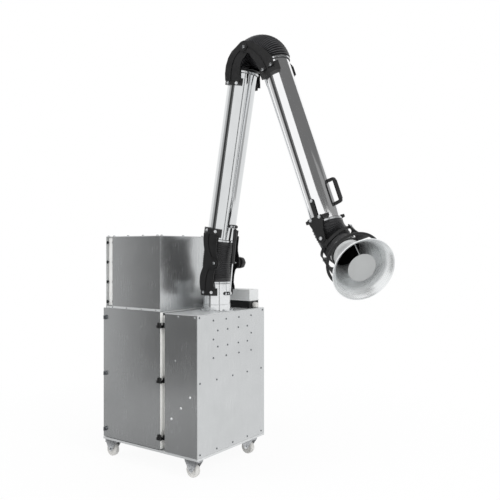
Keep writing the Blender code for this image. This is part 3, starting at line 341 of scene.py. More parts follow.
def galvanised(name, **look):
    # zinc-coated steel: spangle of crystals, each with its own tone and gloss
    made, tree, shader, where = startMaterial(name, look["light"], 1.0, look["rough"][0])
    spangle = addNode(tree, "ShaderNodeTexVoronoi", {"in:Scale": 1000.0 / look["crystalMillimetres"]},
                      {"Vector": where})
    grey = addNode(tree, "ShaderNodeSeparateColor", {}, {"Color": spangle.outputs["Color"]})
    finishSkin(tree, shader, look, (0.0, 1.0), grey.outputs["Red"], grey.outputs["Green"],
               spangle.outputs["Distance"])
    return made


# Lines that the arm is built on, as in the solids

armLines = {"lowerLean": 10.11, "upperLean": 159.88, "standX": 0.2545, "lowerBase": (0.2545, 0.0, 1.179),
            "upperBase": (0.6998, 0.0, 2.1791), "gimbal": (1.049, 0.0, 1.290),
            "swing": (0.6532, 0.0, 0.7572), "hood": (0.73, -0.53, -0.41)}
lowerLean = math.radians(armLines["lowerLean"])
upperLean = math.radians(armLines["upperLean"])
standX = armLines["standX"]
lowerBase = Vector(armLines["lowerBase"])
upperBase = Vector(armLines["upperBase"])
gimbal = Vector(armLines["gimbal"])
swingAxis = Vector(armLines["swing"]).normalized()
hoodAxis = Vector(armLines["hood"]).normalized()
lowerAlong = Vector((math.sin(lowerLean), 0.0, math.cos(lowerLean)))
lowerOut = Vector((math.cos(lowerLean), 0.0, -math.sin(lowerLean)))
upperAlong = Vector((math.sin(upperLean), 0.0, math.cos(upperLean)))
upperOut = Vector((-math.cos(upperLean), 0.0, math.sin(upperLean)))
hoodPlace = axisFrame(gimbal, hoodAxis, swingAxis)


def onLower(distance):
    return lowerBase + lowerAlong * distance


def onUpper(distance):
    return upperBase + upperAlong * distance


# Finishes of the pieces

# grain in turns per metre along each axis: long along a tube, round a spun bell, or even on small pieces
tubeLook = {"grain": (700.0, 700.0, 6.0), "bump": 0.006}
spunLook = {"dark": "#E4E6E7", "light": "#F2F4F4", "grain": (3.0, 3.0, 620.0), "bump": 0.010,
            "turn": tuple(hoodPlace.to_euler()), "place": tuple(gimbal)}
smallLook = {"grain": (420.0, 420.0, 420.0), "bump": 0.01}
# stainless sheet, brushed up and down: satin, with soft blurred reflections
sheetSteel = brushedMetal("brushedStainless", dark="#C4C6C7", light="#CFD1D2", rough=(0.22, 0.28),
                          grain=(620.0, 620.0, 9.0), bump=0.004, metal=0.90)
# the same sheet, brushed front to back and duller, painted paler as a lit copy for tops that catch more light
# and for shaded bands
sheetPaintedLit = brushedMetal("brushedStainlessDeck", dark="#CFD1D2", light="#DADCDD", rough=(0.30, 0.36),
                         grain=(620.0, 9.0, 620.0), bump=0.004, metal=0.40)
# drawn aluminium tube, polished: bright, with hair-fine draw lines along the tube; the upper tube's copy is
# painted paler, a lit copy that brightens its reflections
lowerBright = brushedMetal("polishedTubeLower", dark="#D2D4D5", light="#DFE1E2", rough=(0.06, 0.10),
                           turn=(0.0, lowerLean, 0.0), place=tuple(lowerBase), **tubeLook)
upperPaintedLit = brushedMetal("polishedTubeUpper", dark="#F2F3F4", light="#FBFBFC", rough=(0.06, 0.10),
                           turn=(0.0, upperLean, 0.0), place=tuple(upperBase), **tubeLook)
standBright = brushedMetal("polishedTubeStand", dark="#DADCDD", light="#E6E8E9", rough=(0.08, 0.12),
                           metal=0.80, **tubeLook)
# spun aluminium: turning marks run round the bell, so they change only along its axis
spunBright = brushedMetal("spunAluminium", rough=(0.24, 0.32), metal=0.80, **spunLook)
# the outside of the bell is only lightly polished, so it stays pale between the black pieces
spunSatin = brushedMetal("spunAluminiumSatin", rough=(0.30, 0.38), metal=0.35, **spunLook)
# bead-blasted aluminium disc: dull even grey
blasted = brushedMetal("blastedAluminium", dark="#B9BBBB", light="#C3C5C5", rough=(0.42, 0.50),
                       grain=(800.0, 800.0, 800.0), bump=0.03)
# bright zinc-plated fasteners and bands, lightly tumbled
plated = brushedMetal("zincPlatedSteel", dark="#C6C8CA", light="#E0E2E3", rough=(0.14, 0.24), **smallLook)
# blackened fasteners: dark, with a dull sheen
blackened = brushedMetal("blackenedSteel", dark="#3A3B3C", light="#55575A", rough=(0.30, 0.42), **smallLook)
# passivated screws: mid grey and dull
greyed = brushedMetal("passivatedSteel", dark="#76797C", light="#93969A", rough=(0.34, 0.46), **smallLook)
# nickel plate, brushed satin: pale at every angle
nickelled = brushedMetal("nickelPlatedSteel", dark="#E2E4E5", light="#EEF0F0", rough=(0.24, 0.34),
                         metal=0.35, **smallLook)
# hard-chromed rod: mirror bright
chromed = brushedMetal("chromedRod", dark="#DADCDD", light="#E8E9EA", rough=(0.04, 0.08),
                       grain=(900.0, 900.0, 60.0), bump=0.004)
# hot-dipped steel: crystals about 6 mm across
zinc = galvanised("galvanisedSteel", dark="#9A9C9F", light="#C3C5C7", rough=(0.30, 0.46),
                  crystalMillimetres=6.0, bump=0.06)
# glass-filled nylon, moulded: dull black with a fine grain
mouldedBlack = mouldedSkin("mouldedNylonBlack", dark="#0E0E0F", light="#171718", rough=(0.42, 0.54),
                           grainMillimetres=0.9, bump=0.10)
# coated hose cloth over a wire helix: black, a little glossy on its ribs
hoseBlack = mouldedSkin("coatedHoseBlack", dark="#19191A", light="#262628", rough=(0.30, 0.40),
                        grainMillimetres=1.6, bump=0.08)
# the same cloth painted grey over the turns of its wire: a painted highlight on the rib crests
hoseCrestHighlight = mouldedSkin("coatedHoseRubbed", dark="#3E3E40", light="#4E4E51", rough=(0.30, 0.40),
                         grainMillimetres=1.6, bump=0.08)
# powder coat: even colour with a slight orange peel
blackPaint = mouldedSkin("powderCoatBlack", dark="#121213", light="#1B1B1C", rough=(0.34, 0.46),
                         grainMillimetres=1.4, bump=0.08)
greyPaint = mouldedSkin("powderCoatGrey", dark="#E2E4E4", light="#ECEEEE", rough=(0.36, 0.46),
                        grainMillimetres=1.4, bump=0.06)
# cast nylon: milky white, its tone and gloss varying in slow patches
whiteNylon = mouldedSkin("castNylonWhite", dark="#D3D2CF", light="#E2E1DE", rough=(0.34, 0.46),
                         grainMillimetres=1.8, bump=0.05)
# pale matt trim, near white: painted highlights on the door's and frame's edges and behind the end flange's
# bolts, and a liner lifting the shade in the groove
paleLightTrim = mouldedSkin("extrudedSealPale", dark="#ECECEA", light="#F6F6F4", rough=(0.50, 0.60),
                       grainMillimetres=1.2, bump=0.05)
# needled filter fleece: cream, fibrous and quite matt
fleece = mouldedSkin("filterFleece", dark="#C9C4B6", light="#DDD9CC", rough=(0.85, 0.95),
                     grainMillimetres=0.8, bump=0.35, specular=0.2)
print("materials made")


# Sheet metal: folded sheets with their edges broken

sheetSpec = {"edge": 0.0007, "rounded": {
    "rear_shell": (sheetSteel, "cabinet"), "side_panel": (sheetSteel, "cabinet"),
    "front_panel": (sheetSteel, "cabinet"), "door": (sheetSteel, "door"), "fan_box": (sheetSteel, "cabinet"),
    # the decks and the lid take the paler painted-light copy of the sheet
    "arm_deck": (sheetPaintedLit, "cabinet"), "filter_deck": (sheetPaintedLit, "cabinet"),
    "fan_box_lid": (sheetPaintedLit, "cabinet")}}
for node, (finish, body) in sheetSpec["rounded"].items():
    sheet = roundedCopy(node, sheetSpec["edge"], camelName(node) + "Sheet")
    dress(sheet, finish, body)

# solids that keep their shape and only get a finish
# the base frame takes the paler painted-light copy of the sheet, to lift the shade on its front
keptFinish = {"partition": sheetSteel, "gimbal_ring": mouldedBlack, "base_frame": sheetPaintedLit,
              "dust_tray": zinc, "filter_cassette": fleece, "fan_motor": blackPaint, "fan_impeller": zinc}
for node, finish in keptFinish.items():
    dress(nodes[node], finish)

# thin pale trim that paints light: strips on the door's edge and on the frame beside it as painted highlights,
# a liner on the floor and far wall of the groove between them to lift its shade, a plate behind the end
# flange's bolts as a painted highlight, and a strip along the fan box's foot in the paler painted-light sheet;
# each plate is given as left, right, low, high, front and back
trimSpec = {
    "doorSeal": (paleLightTrim, "door", "white_nylon", 0.0003, (
        (0.0991, 0.1000, 0.134, 0.903, -0.3165, -0.2945),)),
    "frameSeal": (paleLightTrim, "cabinet", "white_nylon", 0.0003, (
        (0.0991, 0.1000, 0.130, 0.884, -0.2915, -0.2725),)),
    "grooveLiner": (paleLightTrim, "cabinet", "white_nylon", 0.0, (
        (0.1004, 0.1328, 0.130, 0.884, -0.2709, -0.2701), (0.1321, 0.1329, 0.130, 0.884, -0.3150, -0.2712))),
    "flangeGasket": (paleLightTrim, "cabinet", "white_nylon", 0.0003, (
        (-0.3442, -0.2945, 0.9225, 1.3320, -0.3035, -0.3005),
        (-0.3442, -0.2945, 0.9225, 1.3320, 0.3005, 0.3035))),
    "footStrip": (sheetPaintedLit, "cabinet", "zinc_steel", 0.0002, (
        (-0.3450, 0.0985, 0.9076, 0.9204, -0.3190, -0.3181),))}
for name, (finish, body, slot, edge, plates) in trimSpec.items():
    made = [cutPlate(name, rectangle(*plate[:4]), plate[4], plate[5], edge) for plate in plates]
    dress(joinAll(name, made), finish, body)
print("sheet metal finished")


# Hoses and their bands

hoseSpec = {
    "cuff": 0.020, "bore": 0.0806, "wall": 0.0006, "rim": 0.0008, "dip": 0.0030, "steps": 72, "ribPoints": 8,
    "innerStep": 0.012, "rubbed": "elbowHose", "rubbedFrom": 0.84,
    "lowerRadii": (0.0830, 0.0850), "elbowRadii": (0.0850, 0.0920), "hoodRadii": (0.0820, 0.0848),
    "lowerRibs": 18, "elbowRibs": 32, "hoodRibs": 9,
    "swivelTop": 1.079, "lowerEnds": (0.128, 1.112), "upperEnds": (-0.120, 0.8447),
    "lowerHold": 0.011,  # keeps the hose clear of the gas spring when the arm stands upright
    "arcMiddle": (0.55603, 0.0, 2.26050), "arcFrom": 1.11763, "arcTo": -0.12589,
    "ringGap": 0.0006, "ringCuff": 0.004, "neckAt": 0.100, "upperPull": (0.036, 0.050),
    "lowerPull": (0.052, 0.034)}


def straightPath(start, end, count):
    return [start.lerp(end, i / count) for i in range(count + 1)]


def bezierPath(points, count):
    made = []
    for i in range(count + 1):
        row = list(points)
        while len(row) > 1:
            row = [row[k].lerp(row[k + 1], i / count) for k in range(len(row) - 1)]
        made.append(row[0])
    return made


def arcPath(middle, start, angle, count):
    arm = start - middle
    return [middle + Matrix.Rotation(angle * i / count, 3, "Y") @ arm for i in range(count + 1)]


def joinPath(*parts):
    made = []
    for part in parts:
        for point in part:
            if not made or (point - made[-1]).length > 0.00001:
                made.append(point)
    return made


def ribbedHose(name, path, which, cuffs):
    whole = sum((b - a).length for a, b in zip(path, path[1:]))
    bore, rim, count = hoseSpec["bore"], hoseSpec["rim"], hoseSpec["ribPoints"]
    ribs = hoseSpec[which + "Ribs"]
    valley, crest = hoseSpec[which + "Radii"]
    # the cloth dips between the turns of its wire
    deep = max(valley - hoseSpec["dip"], bore + hoseSpec["wall"])
    pitch = (whole - cuffs[0] - cuffs[1]) / ribs
    profile = [(bore, 0.0), (valley - rim, 0.0), (valley, rim)]
    for i in range(ribs):
        for k in range(count):
            lift = 0.5 - 0.5 * math.cos(2.0 * math.pi * k / count)
            profile.append((deep + (crest - deep) * lift, cuffs[0] + pitch * (i + k / count)))
    profile += [(valley, whole - cuffs[1]), (valley, whole - rim), (valley - rim, whole), (bore, whole)]
    inner = max(6, int(whole / hoseSpec["innerStep"]))
    for i in range(1, inner + 1):
        profile.append((bore, whole * (1.0 - i / inner)))
    obj = turnProfile(name, profile, hoseSpec["steps"], None, None)  # smoothed when it is bent
    # the elbow hose's rib crests take the grey copy of the cloth as a painted highlight
    paintedCrestsReach = deep + (crest - deep) * hoseSpec["rubbedFrom"]
    rubbed = [int(name == hoseSpec["rubbed"] and math.hypot(face.center.x, face.center.y) > paintedCrestsReach)
              for face in obj.data.polygons]
    bendAlong(obj, path)
    smooth(obj, 60.0)
    dress(obj, hoseBlack, None)
    obj.data.materials.append(hoseCrestHighlight)
    obj.data.polygons.foreach_set("material_index", rubbed)
    return obj


cuff = hoseSpec["cuff"]
first = Vector((standX, 0.0, hoseSpec["swivelTop"]))
start = first - upZ * cuff
lowerFrom, lowerTo = hoseSpec["lowerEnds"]
upperFrom, upperTo = hoseSpec["upperEnds"]
lowerBend = bezierPath((first, lowerBase - sideX * hoseSpec["lowerHold"], onLower(lowerFrom)), 48)
lowerPath = joinPath(straightPath(start, first, 4), lowerBend,
                     straightPath(onLower(lowerFrom), onLower(lowerFrom + cuff), 4))
lowerHose = ribbedHose("lowerHose", lowerPath, "lower", (cuff, cuff))
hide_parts("lower_hose")
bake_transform(lowerHose)

arcFrom, arcTo = hoseSpec["arcFrom"], hoseSpec["arcTo"]
elbowBend = arcPath(Vector(hoseSpec["arcMiddle"]), onLower(arcFrom), upperLean - lowerLean, 96)
elbowPath = joinPath(straightPath(onLower(lowerTo - cuff), onLower(arcFrom), 8), elbowBend,
                     straightPath(onUpper(arcTo), onUpper(upperFrom + cuff), 8))
elbowHose = ribbedHose("elbowHose", elbowPath, "elbow", (cuff, cuff))
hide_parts("elbow_hose")
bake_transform(elbowHose)

# the hood's hose is in two halves that meet in the gimbal ring
through = (upperAlong + hoodAxis).normalized()
ringCuff = hoseSpec["ringCuff"]
firstUp = onUpper(upperTo)
halt = gimbal - through * hoseSpec["ringGap"]
leave, arrive = hoseSpec["upperPull"]
hoodUpBend = bezierPath((firstUp, firstUp + upperAlong * leave, halt - through * arrive, halt), 96)
hoodUpPath = joinPath(straightPath(onUpper(upperTo - cuff), firstUp, 4), hoodUpBend)
hoodHoseUpper = ribbedHose("hoodHoseUpper", hoodUpPath, "hood", (cuff, ringCuff))
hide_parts("hood_hose_upper")
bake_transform(hoodHoseUpper)

begin = gimbal + through * hoseSpec["ringGap"]
neck = gimbal + hoodAxis * hoseSpec["neckAt"]
leave, arrive = hoseSpec["lowerPull"]
hoodLowBend = bezierPath((begin, begin + through * leave, neck - hoodAxis * arrive, neck), 96)
hoodLowPath = joinPath(hoodLowBend, straightPath(neck, neck + hoodAxis * cuff, 4))
hoodHoseLower = ribbedHose("hoodHoseLower", hoodLowPath, "hood", (ringCuff, cuff))
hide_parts("hood_hose_lower")
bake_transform(hoodHoseLower)
print("hoses bent")

bandSpec = {"wide": 0.0100, "thick": 0.0013, "edge": 0.0003, "fit": 0.0001, "house": (0.0075, 0.0105, 0.0058),
            "screw": 0.0036, "standIn": 0.0075, "tubeIn": 0.0125, "hoodIn": 0.0115}


def hoseBand(name, radius, point, along, across, body):
    # worm-drive band: strap, housing and screw
    half = bandSpec["wide"] / 2.0
    edge = bandSpec["edge"]
    outer = radius + bandSpec["thick"]
    strap = turnProfile(name, [
        (radius, -half), (outer - edge, -half), (outer, -half + edge), (outer, half - edge),
        (outer - edge, half), (radius, half), (radius, -half)], 96)
    tall, long, wide = bandSpec["house"]
    house = cutPlate("house", [
        (radius, -wide), (outer + tall * 0.75, -wide), (outer + tall, -wide * 0.5), (outer + tall, wide * 0.5),
        (outer + tall * 0.75, wide), (radius, wide)], -long, long, 0.0008)
    head = bandSpec["screw"]
    screw = turnProfile("screw", [
        (0.0, -0.0160), (head, -0.0160), (head, -0.0110), (head * 0.6, -0.0105), (head * 0.6, 0.0120),
        (0.0, 0.0125)], 14, axisFrame(sideX * (outer + tall * 0.45), backY, sideX))
    band = settle(joinAll(name, [strap, house, screw]), axisFrame(point, along, across))
    return dress(band, plated, body)


lowBand, elbowBand, hoodBand = (hoseSpec[key][0] + bandSpec["fit"]
                                for key in ("lowerRadii", "elbowRadii", "hoodRadii"))
aslant = (-1.0, 1.0, 0.0)
backLeft = (-1.0, 0.6, 0.0)
tubeIn = bandSpec["tubeIn"]
hoseBand("bandStand", lowBand, start + upZ * bandSpec["standIn"], upZ, aslant, "swivel")
hoseBand("bandLowerFoot", lowBand, onLower(lowerFrom + tubeIn), lowerAlong, aslant, "lower_arm")
hoseBand("bandLowerHead", elbowBand, onLower(lowerTo - tubeIn), lowerAlong, backLeft, "lower_arm")
hoseBand("bandUpperHead", elbowBand, onUpper(upperFrom + tubeIn), upperAlong, backLeft, "upper_arm")
hoseBand("bandUpperFoot", hoodBand, onUpper(upperTo - tubeIn), upperAlong, backLeft, "upper_arm")
hoseBand("bandHood", hoodBand, neck + hoodAxis * bandSpec["hoodIn"], hoodAxis, backY, "hood")
print("bands closed")


# Tubes, spigot and the clevis lugs of the gas spring

tubeSpec = {"radius": 0.080, "wall": 0.002, "lip": 0.0006, "steps": 96, "swivelFoot": 0.9393}
lugSpec = {"size": (0.034, 0.0095), "from": 0.0715, "top": 0.0852, "ear": (0.0065, 0.0115), "earFrom": 0.0830,
           "foot": (0.0955, 1.003), "head": (0.0977, 0.2297)}


def tubeProfile(low, high):
    radius, lip = tubeSpec["radius"], tubeSpec["lip"]
    inner = radius - tubeSpec["wall"]
    return [(inner, low), (radius - lip, low), (radius, low + lip), (radius, high - lip), (radius - lip, high),
            (inner, high), (inner, low)]


def clevisLug(name, out, place):
    # strap foot with round ends, two ears and the pin
    wide, tall = lugSpec["size"]
    outline = []
    for middle, turn in ((wide - tall, -90.0), (tall - wide, 90.0)):
        for i in range(9):
            angle = math.radians(turn + 22.5 * i)
            outline.append((middle + tall * math.cos(angle), tall * math.sin(angle)))
    foot = cutPlate(name, outline, lugSpec["from"], lugSpec["top"], 0.0012)
    # the plate lies in XZ with its thickness along Y, so it is turned to face outwards along X
    parts = [settle(foot, axisFrame((0.0, 0.0, 0.0), upZ, -backY))]
    ear = lugSpec["earFrom"]
    for side in (-1.0, 1.0):
        low, high = sorted(side * reach for reach in lugSpec["ear"])
        parts.append(cutPlate(name + "Ear", [
            (ear, -0.0095), (out, -0.0092), (out + 0.0065, -0.0065), (out + 0.0090, 0.0),
            (out + 0.0065, 0.0065), (out, 0.0092), (ear, 0.0095)], low, high, 0.0008))
    half = [(0.0, -0.0145), (0.0052, -0.0145), (0.0062, -0.0135), (0.0062, -0.0117), (0.0040, -0.0117)]
    pin = turnProfile(name + "Pin", half + [(r, -a) for r, a in reversed(half)], 20,
                      axisFrame(sideX * out, backY, sideX))
    return settle(joinAll(name, parts), place), settle(pin, place)


stand = Matrix.Translation((standX, 0.0, 0.0))
spigot = turnProfile("inletSpigot", [
    (0.0757, 0.886), (0.0777, 0.886), (0.0777, 0.9013), (0.0990, 0.9013), (0.1000, 0.9023), (0.1000, 0.9043),
    (0.0990, 0.9053), (0.0835, 0.9053), (0.0820, 0.9068), (0.0820, 0.9376), (0.0806, 0.9390), (0.0777, 0.9390),
    (0.0777, 1.0000), (0.0757, 1.0000), (0.0757, 0.886)], 96, stand)
dress(spigot, standBright, "cabinet")
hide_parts("inlet_spigot")

swivelProfile = tubeProfile(tubeSpec["swivelFoot"], hoseSpec["swivelTop"])
swivelTube = turnProfile("swivelTube", swivelProfile, tubeSpec["steps"], stand)
dress(swivelTube, standBright, "swivel")
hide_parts("swivel_tube")
lowerTube = turnProfile("lowerTube", tubeProfile(lowerFrom, lowerTo), tubeSpec["steps"],
                        axisFrame(lowerBase, lowerAlong, lowerOut))
dress(lowerTube, lowerBright, "lower_arm")
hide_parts("lower_tube")
upperTube = turnProfile("upperTube", tubeProfile(upperFrom, upperTo), tubeSpec["steps"],
                        axisFrame(upperBase, upperAlong, upperOut))
dress(upperTube, upperPaintedLit, "upper_arm")
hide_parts("upper_tube")

footOut, footZ = lugSpec["foot"]
headOut, headS = lugSpec["head"]
footPlace = Matrix.Translation((standX, 0.0, footZ))
headPlace = axisFrame(onLower(headS), lowerAlong, lowerOut)
for name, out, place, body in (("footLug", footOut, footPlace, "swivel"),
                               ("headLug", headOut, headPlace, "lower_arm")):
    lug, pin = clevisLug(name, out, place)
    dress(lug, mouldedBlack, body)
    dress(pin, plated, body)
print("tubes turned")


# Gas spring

springSpec = {"body": 0.011, "bodyLong": 0.213, "rod": 0.004, "rodLong": 0.285, "eye": (0.0043, 0.0090, 0.0060),
              "edge": 0.0008}
springHead = onLower(headS) + lowerOut * headOut
springFoot = Vector((standX + footOut, 0.0, footZ))
springDown = (springFoot - springHead).normalized()


def springEye(point):
    bore, outer, half = springSpec["eye"]
    edge = springSpec["edge"]
    return turnProfile("eye", [
        (bore, -half), (outer - edge, -half), (outer, -half + edge), (outer, half - edge), (outer - edge, half),
        (bore, half), (bore, -half)], 28, axisFrame(point, backY, sideX))


thick, long = springSpec["body"], springSpec["bodyLong"]
cylinder = turnProfile("gasCylinder", [
    (0.0, 0.0100), (0.0050, 0.0100), (0.0060, 0.0140), (thick - 0.0012, 0.0150), (thick, 0.0170),
    (thick, long - 0.0050), (thick - 0.0014, long - 0.0020), (thick - 0.0014, long), (0.0065, long),
    (0.0065, 0.0300), (0.0, 0.0300)], 32, axisFrame(springHead, springDown, backY))
cylinder = joinAll("gasCylinder", [cylinder, springEye(springHead)])
dress(cylinder, blackPaint, "gas_cylinder")
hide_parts("gas_cylinder")
thin, long, edge = springSpec["rod"], springSpec["rodLong"], springSpec["edge"]
rod = turnProfile("gasRod", [
    (0.0, 0.0075), (thin, 0.0075), (thin, long - edge), (thin - edge, long), (0.0, long)], 24,
    axisFrame(springFoot, -springDown, backY))
rod = joinAll("gasRod", [rod, springEye(springFoot)])
dress(rod, chromed, "gas_rod")
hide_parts("gas_rod")
print("gas spring built")


# Joint cheeks: rounded plates, each with a groove along its middle

cheekSpec = {"edge": 0.0016, "yokeEdge": 0.0014, "grooveWide": 0.0085, "grooveDeep": 0.0036, "past": 0.002,
             "faces": (0.0995, 0.1048), "plates": {
    "base_plate_": ("swivel", 0, (
        (0.247, 1.016), (0.249, 1.045), (0.252, 1.078), (0.259, 1.110), (0.272, 1.138), (0.290, 1.154))),
    "lower_plate_": ("lower_arm", 1, (
        (0.282, 1.350), (0.277, 1.322), (0.276, 1.296), (0.281, 1.265), (0.290, 1.239), (0.302, 1.214))),
    "elbow_lower_": ("lower_arm", 0, (
        (0.434, 2.200), (0.435, 2.228), (0.437, 2.257), (0.443, 2.288), (0.456, 2.318), (0.476, 2.343),
        (0.499, 2.359))),
    "elbow_upper_": ("upper_arm", 1, (
        (0.549, 2.370), (0.580, 2.354), (0.610, 2.332), (0.636, 2.306), (0.656, 2.276), (0.671, 2.250),
        (0.680, 2.228)))}}


def grooveCutter(path, low, high):
    half = cheekSpec["grooveWide"] / 2.0
    left = []
    right = []
    for i, (x, z) in enumerate(path):
        run = (Vector(path[min(i + 1, len(path) - 1)]) - Vector(path[max(i - 1, 0)])).normalized()
        left.append((x - run.y * half, z + run.x * half))
        right.append((x + run.y * half, z - run.x * half))
    return cutPlate("groove", left + right[::-1], low, high, 0.0)


for word, side in (("near", -1.0), ("far", 1.0)):
    for node, (body, layer, path) in cheekSpec["plates"].items():
        face = cheekSpec["faces"][layer]
        low, high = sorted((side * (face - cheekSpec["grooveDeep"]), side * (face + cheekSpec["past"])))
        cutter = grooveCutter(path, low, high)
        plate = roundedCopy(node + word, cheekSpec["edge"], cutter=cutter)
        dress(plate, mouldedBlack, body)
    yoke = roundedCopy("hood_yoke_" + word, cheekSpec["yokeEdge"])
    dress(yoke, mouldedBlack, "upper_arm")
print("cheeks rounded")


# Knob, damper lever and bridge handle

knobSpec = {"flutes": 7, "flute": 0.075, "rimFrom": 0.0265, "rimDeep": 0.009, "bore": 0.0066,
            "pivot": (0.317, 0.0, 1.180)}
bore, rimFrom = knobSpec["bore"], knobSpec["rimFrom"]
knob = turnProfile("frictionKnob", [
    (bore, 0.1092), (0.0132, 0.1092), (0.0140, 0.1100), (0.0140, 0.1228), (0.0290, 0.1232), (0.0330, 0.1246),
    (0.0352, 0.1275), (0.0355, 0.1310), (0.0355, 0.1490), (0.0345, 0.1535), (0.0312, 0.1578), (0.0270, 0.1602),
    (0.0200, 0.1612), (0.0192, 0.1602), (0.0186, 0.1602), (0.0178, 0.1616), (0.0100, 0.1620), (0.0, 0.1620),
    (0.0, 0.1350), (bore, 0.1350), (bore, 0.1092)], 84, None, None)
for vertex in knob.data.vertices:
    reach = math.hypot(vertex.co.x, vertex.co.y)
    if reach > rimFrom:  # flutes for the fingers, pressed into the rim
        turn = math.atan2(vertex.co.y, vertex.co.x) * knobSpec["flutes"]
        press = (0.5 - 0.5 * math.cos(turn)) * (reach - rimFrom) / knobSpec["rimDeep"]
        vertex.co.x *= 1.0 - knobSpec["flute"] * press
        vertex.co.y *= 1.0 - knobSpec["flute"] * press
settle(smooth(knob, 45.0), axisFrame(knobSpec["pivot"], backY, sideX))
dress(knob, mouldedBlack, "knob")
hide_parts("friction_knob")

gripSpec = {"leverEdge": 0.0008, "bridgeEdge": 0.0040, "handleAt": 0.621, "sleeveEdge": 0.0050,
            "sleeve": (0.1105, 0.1285, 0.019, 0.127), "sleeveHalf": 0.0120}
lever = roundedCopy("damper", gripSpec["leverEdge"], "damperLever")
dress(lever, mouldedBlack, "damper")
bridge = roundedCopy("tube_handle", gripSpec["bridgeEdge"], "bridgeHandle", 3)
dress(bridge, mouldedBlack, "upper_arm")
sleeve = cutPlate("handleSleeve", rectangle(*gripSpec["sleeve"]), -gripSpec["sleeveHalf"],
                  gripSpec["sleeveHalf"], gripSpec["sleeveEdge"])
settle(sleeve, axisFrame(onUpper(gripSpec["handleAt"]), upperAlong, upperOut))
dress(sleeve, mouldedBlack, "upper_arm")
print("small controls built")


# Hood

hoodSpec = {
    "neck": (0.080, 0.100), "line": ((0.080, 0.150), (0.087, 0.174), (0.113, 0.232), (0.125, 0.262),
                                     (0.140, 0.290), (0.1592, 0.3120)),
    "wall": 0.0025, "bead": 0.0024, "beadOff": (0.0010, 0.0012), "disc": (0.0725, 0.289, 0.0020),
    "strut": 0.0020, "strutTurn": 43.0, "strutFrom": 0.060, "strutTo": (0.1106, 0.236), "ringEdge": 0.0016,
    "grip": (0.14205, 0.2060, 0.0075), "hoop": (0.1038, 0.1095, 0.0084), "hoopEdge": 0.001}


def softLine(points, count):
    # smooth line through the points
    rows = [points[0]] + list(points) + [points[-1]]
    made = []
    for a, b, c, d in zip(rows, rows[1:], rows[2:], rows[3:]):
        for i in range(count):
            t = i / count
            made.append(tuple(0.5 * (2.0 * q + (r - p) * t + (2.0 * p - 5.0 * q + 4.0 * r - s) * t * t
                                     + (3.0 * q - p - 3.0 * r + s) * t * t * t)
                              for p, q, r, s in zip(a, b, c, d)))
    return made + [tuple(points[-1])]


def ringSection(middle, height, radius, start, step, count):
    # points round a circle, in degrees
    angles = [math.radians(start + step * i) for i in range(count)]
    return [(middle + radius * math.cos(angle), height + radius * math.sin(angle)) for angle in angles]


bellOut = [hoodSpec["neck"]] + softLine(hoodSpec["line"], 5)
bellIn = [(radius - hoodSpec["wall"], height) for radius, height in bellOut]
beadOut, beadUp = (a + b for a, b in zip(bellOut[-1], hoodSpec["beadOff"]))
rim = ringSection(beadOut, beadUp, hoodSpec["bead"], -70.0, 30.0, 9)  # rolled over
bell = turnProfile("hoodBell", bellOut + rim + bellIn[::-1] + [bellOut[0]], 128, None, 50.0)
outside = [int(face.normal.x * face.center.x + face.normal.y * face.center.y > 0.0)
           for face in bell.data.polygons]
dress(settle(bell, hoodPlace), spunBright, "hood")
bell.data.materials.append(spunSatin)
bell.data.polygons.foreach_set("material_index", outside)
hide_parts("hood_bell")

discR, discAt, discThick = hoodSpec["disc"]
disc = turnProfile("baffleDisc", [
    (0.0, discAt), (discR - 0.001, discAt), (discR, discAt + 0.0005), (discR, discAt + discThick - 0.0005),
    (discR - 0.001, discAt + discThick), (0.0, discAt + discThick)], 96)
parts = [disc]
thick = hoodSpec["strut"]
for i in range(3):
    turn = Matrix.Rotation(math.radians(hoodSpec["strutTurn"] + 120.0 * i), 3, "Z")
    near = turn @ Vector((hoodSpec["strutFrom"], 0.0, discAt + discThick / 2.0))
    far = turn @ Vector((hoodSpec["strutTo"][0], 0.0, hoodSpec["strutTo"][1]))
    long = (far - near).length
    parts.append(turnProfile("strut", [(0.0, 0.0), (thick, 0.0), (thick, long), (0.0, long)], 14,
                             axisFrame(near, far - near, upZ)))
baffle = settle(joinAll("baffleDisc", parts), hoodPlace)
dress(baffle, blasted, "hood")
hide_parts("baffle")
ring = roundedCopy("ring_handle", hoodSpec["ringEdge"])
dress(ring, mouldedBlack, "hood")
# smooth grip and hoop over the coarser rings of the solids
grip = turnProfile("ringGrip", ringSection(*hoodSpec["grip"], 0.0, 15.0, 25), 144, hoodPlace, 60.0)
dress(grip, mouldedBlack, "hood")
hoopIn, hoopOut, half = hoodSpec["hoop"]
edge = hoodSpec["hoopEdge"]
hoop = turnProfile("gimbalHoop", [
    (hoopIn, edge - half), (hoopIn + edge, -half), (hoopOut - edge, -half), (hoopOut, edge - half),
    (hoopOut, half - edge), (hoopOut - edge, half), (hoopIn + edge, half), (hoopIn, half - edge),
    (hoopIn, edge - half)], 128, axisFrame(gimbal, backY.cross(swingAxis), swingAxis))
dress(hoop, mouldedBlack, "gimbal")
print("hood built")


# Casters

